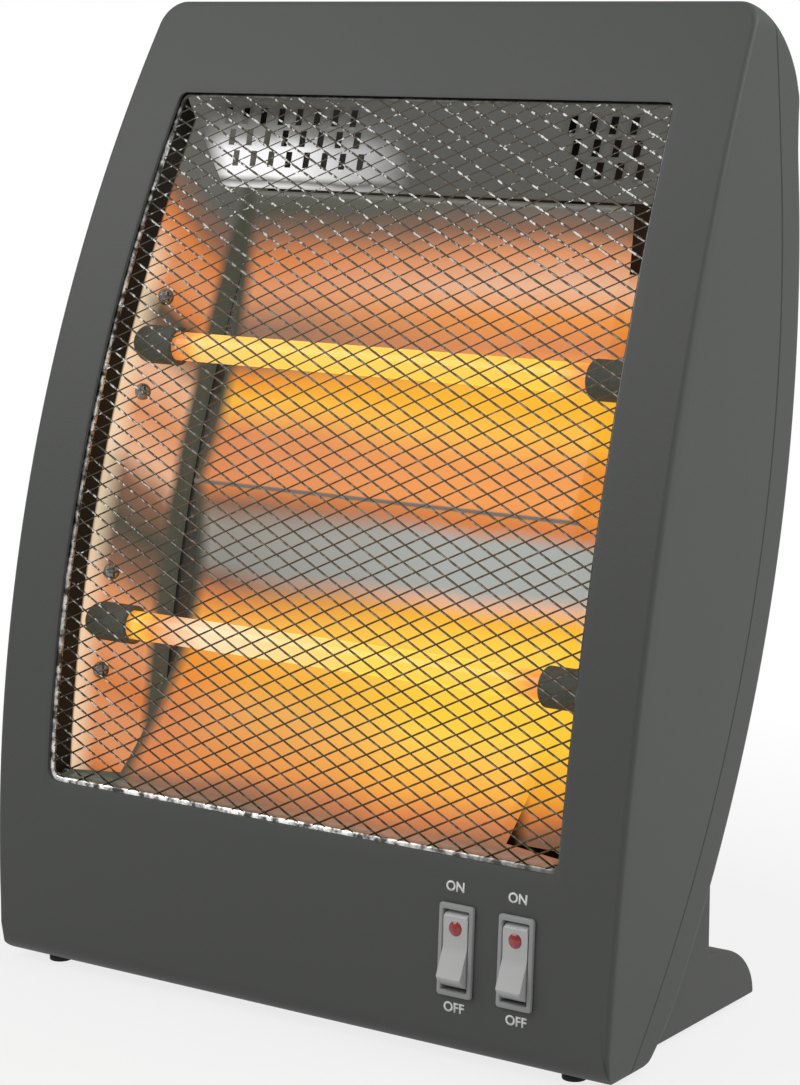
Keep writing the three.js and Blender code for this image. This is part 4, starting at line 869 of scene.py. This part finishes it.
tube_half, tube_radius, tube_wall, tube_round = 102, 5.6, 1.1, 0.3
coil_radius, wire_radius, turns, steps = 3.3, 0.42, 78, 14
coil_half, lead_half = 92, 104

quartz_glass, place = new_finish("hot quartz glass")
x, s, _ = face_place(place)
mottle = noise(place, 60)
warm = x + (mottle - 0.5) * 8
lower_heat = bands(warm, [
    (-96, orange), (-90, yellow), (-82, orange), (-74, blush), (-56, cream), (-10, rgb(250, 218, 130)),
    (20, rgb(253, 216, 78)), (80, rgb(253, 206, 66)), (92, orange)])
upper_heat = bands(warm, [
    (-96, burnt_orange), (-88, orange), (-80, rgb(250, 208, 110)), (-40, rgb(253, 212, 90)),
    (80, rgb(253, 206, 70)), (92, orange)])
surface(place, rgb(150, 120, 70), 0.12 + mottle * 0.08, {"Alpha": 0.78 + mottle * 0.1},
        mixed(s.between(170, 200), lower_heat, upper_heat), 0.88)

heating_wire, place = new_finish("glowing resistance wire")
scale = noise(place, 900)
surface(place, rgb(120, 100, 80), 0.4 + scale * 0.2, {"Metallic": 1},
        mixed(scale, rgb(255, 196, 70), rgb(255, 222, 120)))


def along_x(shape, centre, side=1):
    """A lathe laid along x through a centre, and the other way round for a side of -1."""
    points, faces = shape
    return points[:, (1, 0, 2)] * (side, 1, 1) + centre, faces


def loft(loops):
    """A closed surface through matching loops, with a flat face at each end."""
    loops = np.asarray(loops)
    rows, columns = loops.shape[:2]
    faces = [list(f) for f in grid_faces(rows, columns, loop=True)]
    faces += [list(range(columns)), list(range((rows - 1) * columns, rows * columns))]
    return loops.reshape(-1, 3), faces


def strand(core, radius, sides, outward):
    """A tube round a line of points: a ring square to the line at each, turned to face outward."""
    along = np.gradient(core, axis=0)
    along /= np.linalg.norm(along, axis=1)[:, None]
    outward = outward - (outward * along).sum(1)[:, None] * along
    outward /= np.linalg.norm(outward, axis=1)[:, None]
    beside = np.cross(along, outward)
    ring = 2 * pi * np.arange(sides)[:, None] / sides
    return loft(core[:, None] + radius * (outward[:, None] * np.cos(ring) + beside[:, None] * np.sin(ring)))


bore, lip = tube_radius - tube_wall, tube_radius - tube_round
profile = [(bore, -tube_half), (lip, -tube_half), (tube_radius, tube_round - tube_half), (tube_radius, -50),
           (tube_radius, 0), (tube_radius, 50), (tube_radius, tube_half - tube_round), (lip, tube_half),
           (bore, tube_half), (bore, -tube_half)]
angle = np.linspace(0, 2 * pi * turns, turns * steps + 1)
swing = coil_radius * rise(np.minimum(angle, angle[-1] - angle), 0, 4 * pi)
helix = np.stack([2 * coil_half * angle / angle[-1] - coil_half, swing * np.cos(angle),
                  swing * np.sin(angle)], -1)
core = np.concatenate([[(-lead_half, 0, 0)], helix, [(lead_half, 0, 0)]])
facing = np.stack([0 * angle, np.cos(angle), np.sin(angle)], -1)
facing = np.concatenate([facing[:1], facing, facing[-1:]])
for name, s in tubes.items():
    centre = at_arc(0, s, tube_depth)
    make_piece(f"quartz_tube_{name}", *along_x(lathe(profile, 40), centre), quartz_glass, "quartz_glass")
    make_piece(f"heating_coil_{name}", *strand(core + centre, wire_radius, 6, facing), heating_wire,
               "heating_wire")


# ---- Ceramic holders ----
# Dark unglazed ceramic: a round cap over each tube's end that grows out of a plate behind the side
# panel, with two screws through the panel.

ceramic, place = new_finish("unglazed ceramic")
speck, scorch = noise(place, 700, 4), noise(place, 90)
tone = mixed(speck * 0.6 + scorch * 0.4, rgb(64, 70, 62), rgb(118, 122, 112))
surface(place, tone, 0.75 + speck * 0.15, {"Normal": bumped(speck, 0.4, 0.0002)})

cap_radius, cap_reach, cap_end = 7.6, 94, 116
plate_half, plate_deep, plate_thick = 27, 8, 6.6
profile = [(0, 103), (5.9, 103), (5.9, cap_reach + 0.6), (6.5, cap_reach), (7, cap_reach),
           (cap_radius, cap_reach + 0.6), (cap_radius, cap_reach + 4), (cap_radius, 112),
           (cap_radius, cap_end), (0, cap_end)]
for name, s in tubes.items():
    spots = np.array([(s + u * plate_half, tube_depth + v * plate_deep) for u, v in square])
    start = panel_half(spots[:, 1], spots[:, 0]) + 1.7
    for side, label in both_sides:
        cap, cap_faces = along_x(lathe(profile, 40), at_arc(0, s, tube_depth), side)
        plate = np.concatenate([at_arc(side * (start + w), *spots.T) for w in (0, plate_thick)])
        make_piece(f"tube_holder_{name}_{label}", np.concatenate([cap, plate]),
                   np.concatenate([cap_faces, box_faces(1) + len(cap)]), ceramic, "ceramic")


# ---- Screws ----
# Zinc-plated pan-head screws with a cross recess: two through each ceramic holder, two in each foot
# and four deep in the rear cover.

screw_steel = plain_steel("zinc plate", rgb(170, 172, 172), gloss=0.3)
cross_long, cross_wide, cross_deep = 1.9, 0.42, -0.9
head_profile = [(0, -2.4), (1.6, -2.3), (2.6, -1.9), (3.2, -1.1), (3.4, -0.3), (3.4, 0), (1.6, 0)]


def screw(name, seat, inwards, length):
    """A screw from its seat along a unit vector: its lathe turned from y, with a cross cut out."""
    points, faces = lathe(head_profile + [(1.6, length - 1.2), (0.3, length), (0, length)], 28)
    inwards = np.asarray(inwards, float)
    side = np.cross(inwards, (0, 0, 1))
    side /= np.linalg.norm(side)
    axes = np.array([side, inwards, np.cross(side, inwards)])
    made = make_piece(name, points @ axes + seat, faces, screw_steel, "screw_steel")
    for long, wide in ((cross_long, cross_wide), (cross_wide, cross_long)):
        cross, cross_faces = bars([(-long, -4, -wide)], [(long, cross_deep, wide)])
        carve(made, cross @ axes + seat, cross_faces)


for name, s in tubes.items():
    for side, label in both_sides:
        for up, where in ((20, "top"), (-20, "bottom")):
            seat = at_arc(side * (panel_half(tube_depth, s + up) - gap), s + up, tube_depth)
            angle = (s + up) / face_radius
            inwards = np.array([side, flare * cos(angle), -flare * sin(angle)])
            screw(f"holder_screw_{name}_{label}_{where}", seat, inwards / np.linalg.norm(inwards), 6)

foot_x, post_height = 118.7, 98
post_depth = back_depth(post_height) + 2.2
foot_screw_z = {"lower": 42, "upper": 74}
clearance = 0.15


def foot_seat(z):
    """Where a foot screw's head lies: 4.3 mm off the cover, or 9 mm deep in the post if further out."""
    return max(back_depth(z) + 4.3, post_depth - 9)


for side, label in both_sides:
    for where, z in foot_screw_z.items():
        y = foot_seat(z) + clearance
        screw(f"foot_screw_{label}_{where}", (side * foot_x, y, z), (0, -1, 0), y - back_depth(z) + 9)
    for where, z in cover_screw_z.items():
        y = back_depth(z) - wall - screw_sink + clearance
        screw(f"cover_screw_{where}_{label}", (side * half_width(z, screw_inset), y, z), (0, -1, 0),
              y - back_depth(z) + 28)


# ---- Rocker switches ----
# Two narrow rocker switches of grey plastic snapped into the lower bezel. Each has a flat frame, a
# rocker on a pin, and a red pilot lens in the rocker's upper half; both are pressed to ON at rest.

switch_grey = grained_plastic("grey switch plastic", rgb(148, 149, 149), grain=0.00005, gloss=0.34)
rocker_grey = grained_plastic("pale rocker plastic", rgb(180, 181, 180), grain=0.00004, gloss=0.26)

pilot_lens, place = new_finish("lit pilot lens")
facet = cells(place, 900)
red = mixed(facet, rgb(168, 14, 16), rgb(90, 4, 6))
surface(place, red, 0.12 + facet * 0.1, {"Coat Weight": 0.6, "Normal": bumped(facet, 0.5, 0.0003)}, red, 0.15)


def rounded(half_x, half_z, corner, y):
    """A rectangle's loop at a depth: four quarter circles, each moved out to its own corner."""
    angle = (pi / 2 * np.arange(4)[:, None] + np.linspace(0, pi / 2, 5)).ravel()
    x = np.repeat([1, -1, -1, 1], 5) * (half_x - corner) + corner * np.cos(angle)
    z = np.repeat([1, 1, -1, -1], 5) * (half_z - corner) + corner * np.sin(angle)
    return np.stack([x, np.full(len(x), y), z], -1)


pin_depth, rocker_tilt = 5, radians(10)
rocker_radius, tip_reach, valley, lens_up = 14.4, 8.6, np.array((-6.4, 0.3)), 7


def rocker_outline():
    """The rocker's side view in (y, z) about its pin: a shallow valley, its two rounded ends and the
    arcs that run in the frame, closed straight behind."""
    arc = np.linspace(acos(tip_reach / rocker_radius), pi / 2 + 0.15, 8)
    half = rocker_radius * np.stack([-np.cos(arc), np.sin(arc)], -1)
    tip = half[0]
    slope = (tip - valley) * np.linspace(0, 1, 6)[:, None] + valley
    upper = np.concatenate([slope[:-1], [tip + (0.05, -0.5), tip + (0.35, 0.12)], half[1:]])
    return np.concatenate([upper, (upper * (1, -1))[::-1]])


rocker_line = rocker_outline()
rocker_middle = rocker_line.mean(0)
loops = []
for across_x, inset in ((-5.1, 0.07), (-5, 0.03), (-4.75, 0), (4.75, 0), (5, 0.03), (5.1, 0.07)):
    ring = rocker_line + (rocker_middle - rocker_line) * inset
    loops.append(np.column_stack([np.full(len(ring), across_x), ring]))
rocker_points, rocker_faces = loft(loops)

housing_points, housing_faces = loft([rounded(*ring) for ring in [
    (5.4, 14.7, 0.5, 11), (5.4, 14.7, 0.5, -0.9), (5.7, 15, 0.7, -1.4), (6.7, 16.3, 0.9, -1.4),
    (7.1, 16.7, 1.1, -1.2), (7.3, 16.9, 1.2, -0.8), (7.3, 16.9, 1.2, -0.1), (6.2, 15.8, 0.6, -0.1),
    (6.2, 15.8, 0.6, 19)]])

dome = [(0, -1), (1, -0.95), (2, -0.7), (2.7, -0.3), (3, 0.1), (3, 1.7), (0, 1.7)]
lens_points, lens_faces = lathe(dome, 36)
lens_slope = atan2(2.2, rocker_radius)
c, s = cos(lens_slope), sin(lens_slope)
lens_x, lens_y, lens_z = lens_points.T
lens_points = np.stack([lens_x, lens_y * c - lens_z * s + valley[0] - lens_up * s / c,
                        lens_y * s + lens_z * c + lens_up], -1)

for label, x in switch_x.items():
    make_piece(f"switch_{label}_body", at_switch(housing_points, x), housing_faces, switch_grey,
               "switch_frame", sharp=30)
    make_piece(f"switch_{label}_rocker", at_switch(rocker_points, x, rocker_tilt, pin_depth), rocker_faces,
               rocker_grey, "switch_plastic", body=f"{label}_rocker", sharp=30)
    make_piece(f"switch_{label}_lens", at_switch(lens_points, x, rocker_tilt, pin_depth), lens_faces,
               pilot_lens, "pilot_lens", body=f"{label}_rocker")


# ---- Switch lettering ----
# ON above and OFF below each switch, in white pad print a few hundredths thick.

white_ink, place = new_finish("white pad print")
worn = noise(place, 1200)
surface(place, mixed(worn, rgb(214, 215, 215), rgb(246, 246, 246)), 0.5 + worn * 0.1, {})

ink_thick = 0.06
for word, z, places in (("ON", 65, (74.8, 100.9)), ("OFF", 21, (75.9, 102))):
    text = bpy.data.curves.new("word", "FONT")
    text.body = word
    text.size = 5
    text.align_x, text.align_y = "CENTER", "CENTER"
    text.offset = 0.13
    holder = bpy.data.objects.new("word", text)
    scene.collection.objects.link(holder)
    flat = evaluated(holder)
    bpy.data.objects.remove(holder)
    spots = np.zeros(len(flat.vertices) * 3)
    flat.vertices.foreach_get("co", spots)
    for x, label in zip(places, switch_x):
        ink = on_face(spots.reshape(-1, 3)[:, :2] + (x, z)) - (0, ink_thick, 0)
        thicken(make_piece(f"print_{word.lower()}_{label}", ink, [list(p.vertices) for p in flat.polygons],
                           white_ink, "casing_plastic", closed=False), ink_thick)


# ---- Feet and pads ----
# Two feet in the casing's plastic, screwed to the rear cover, each an upright post with a rounded toe,
# and four black rubber pads pressed into the feet and under the front edge.

toe, toe_height, foot_half = 36, 27, 11
foot_front = back_depth(floor_gap) + 12.4
quarter = np.linspace(0, pi / 2, 20)
climb = np.linspace(post_height, floor_gap + 10, 24)
rounded_toe = (post_depth, floor_gap) + (toe, toe_height - floor_gap) * np.stack(
    [np.cos(quarter), np.sin(quarter)], -1)
foot_line = np.concatenate([
    [(foot_front, floor_gap), (post_depth + toe - 1.5, floor_gap)], rounded_toe,
    [(post_depth, post_height)], np.stack([back_depth(climb) + gap, climb], -1)])
for side, label in both_sides:
    middle = side * foot_x
    foot = make_piece(f"foot_{label}", *loft(
        [np.column_stack([np.full(len(foot_line), middle + x), foot_line]) for x in (-foot_half, foot_half)]),
        casing_plastic, "casing_plastic")
    for z in foot_screw_z.values():
        carve(foot, *rods([(middle, z)], 3.7, [foot_seat(z)], [past_back]))
    round_over = foot.modifiers.new("edges", "BEVEL")
    round_over.width = 0.0012
    round_over.segments = 3
    round_over.limit_method = "ANGLE"
    round_over.angle_limit = radians(40)

rubber, place = new_finish("black rubber")
dust = noise(place, 500, 3)
surface(place, mixed(dust, rgb(20, 20, 20), rgb(44, 44, 43)), 0.8 + dust * 0.1, {
    "Normal": bumped(dust, 0.3, 0.0001)})

pad_points, pad_faces = lathe([(0, 0), (4, 0), (4.35, 0.12), (4.5, 0.45), (4.5, 1.9), (4.2, 2.3),
                               (2.2, 2.3), (2.2, 4.9), (0, 4.9)])
for end, y in (("front", heel + 2.2 + 2 * gap), ("rear", post_depth + toe - 9)):
    for side, label in both_sides:
        make_piece(f"pad_{end}_{label}", pad_points[:, (0, 2, 1)] + (side * foot_x, y, 0), pad_faces,
                   rubber, "rubber")


# ---- Cord inlet bush ----
# A black rubber bush in the back, low on the left, that the mains cord would pass through.

bush_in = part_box("cord_bush")[0].y * 1000 - front_line * 1000 - bush_face
profile = [(3.6, bush_in), (5.7, bush_in), (5.7, 0.3), (7.2, 0.3), (7.5, 0.6), (7.5, 1.8), (7.2, 2.2),
           (5.7, 5.7), (5.3, 6), (4, 6), (3.6, 5.6), (3.6, bush_in)]
points, faces = lathe(profile)
make_piece("cord_bush", points + (bush[0], bush_face, bush[1]), faces, rubber, "rubber")


# ---- Inner fittings ----
# The tip-over switch with its sprung plunger, the terminal block, and glass-sleeved wires.

dress("tip_switch_body", grained_plastic("black moulding", rgb(34, 34, 35), grain=0.00005))
dress("tip_plunger", switch_grey)
dress("terminal_block", grained_plastic("cream moulding", rgb(206, 200, 186), grain=0.00005))

sleeve, place = new_finish("glass braid sleeve")
weave = cells(place, 1400)
surface(place, mixed(weave, rgb(222, 216, 200), rgb(170, 162, 144)), 0.7 + weave * 0.1, {
    "Normal": bumped(weave, 0.5, 0.0002)})

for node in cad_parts:
    if node.startswith("wire_"):
        dress(node, sleeve)
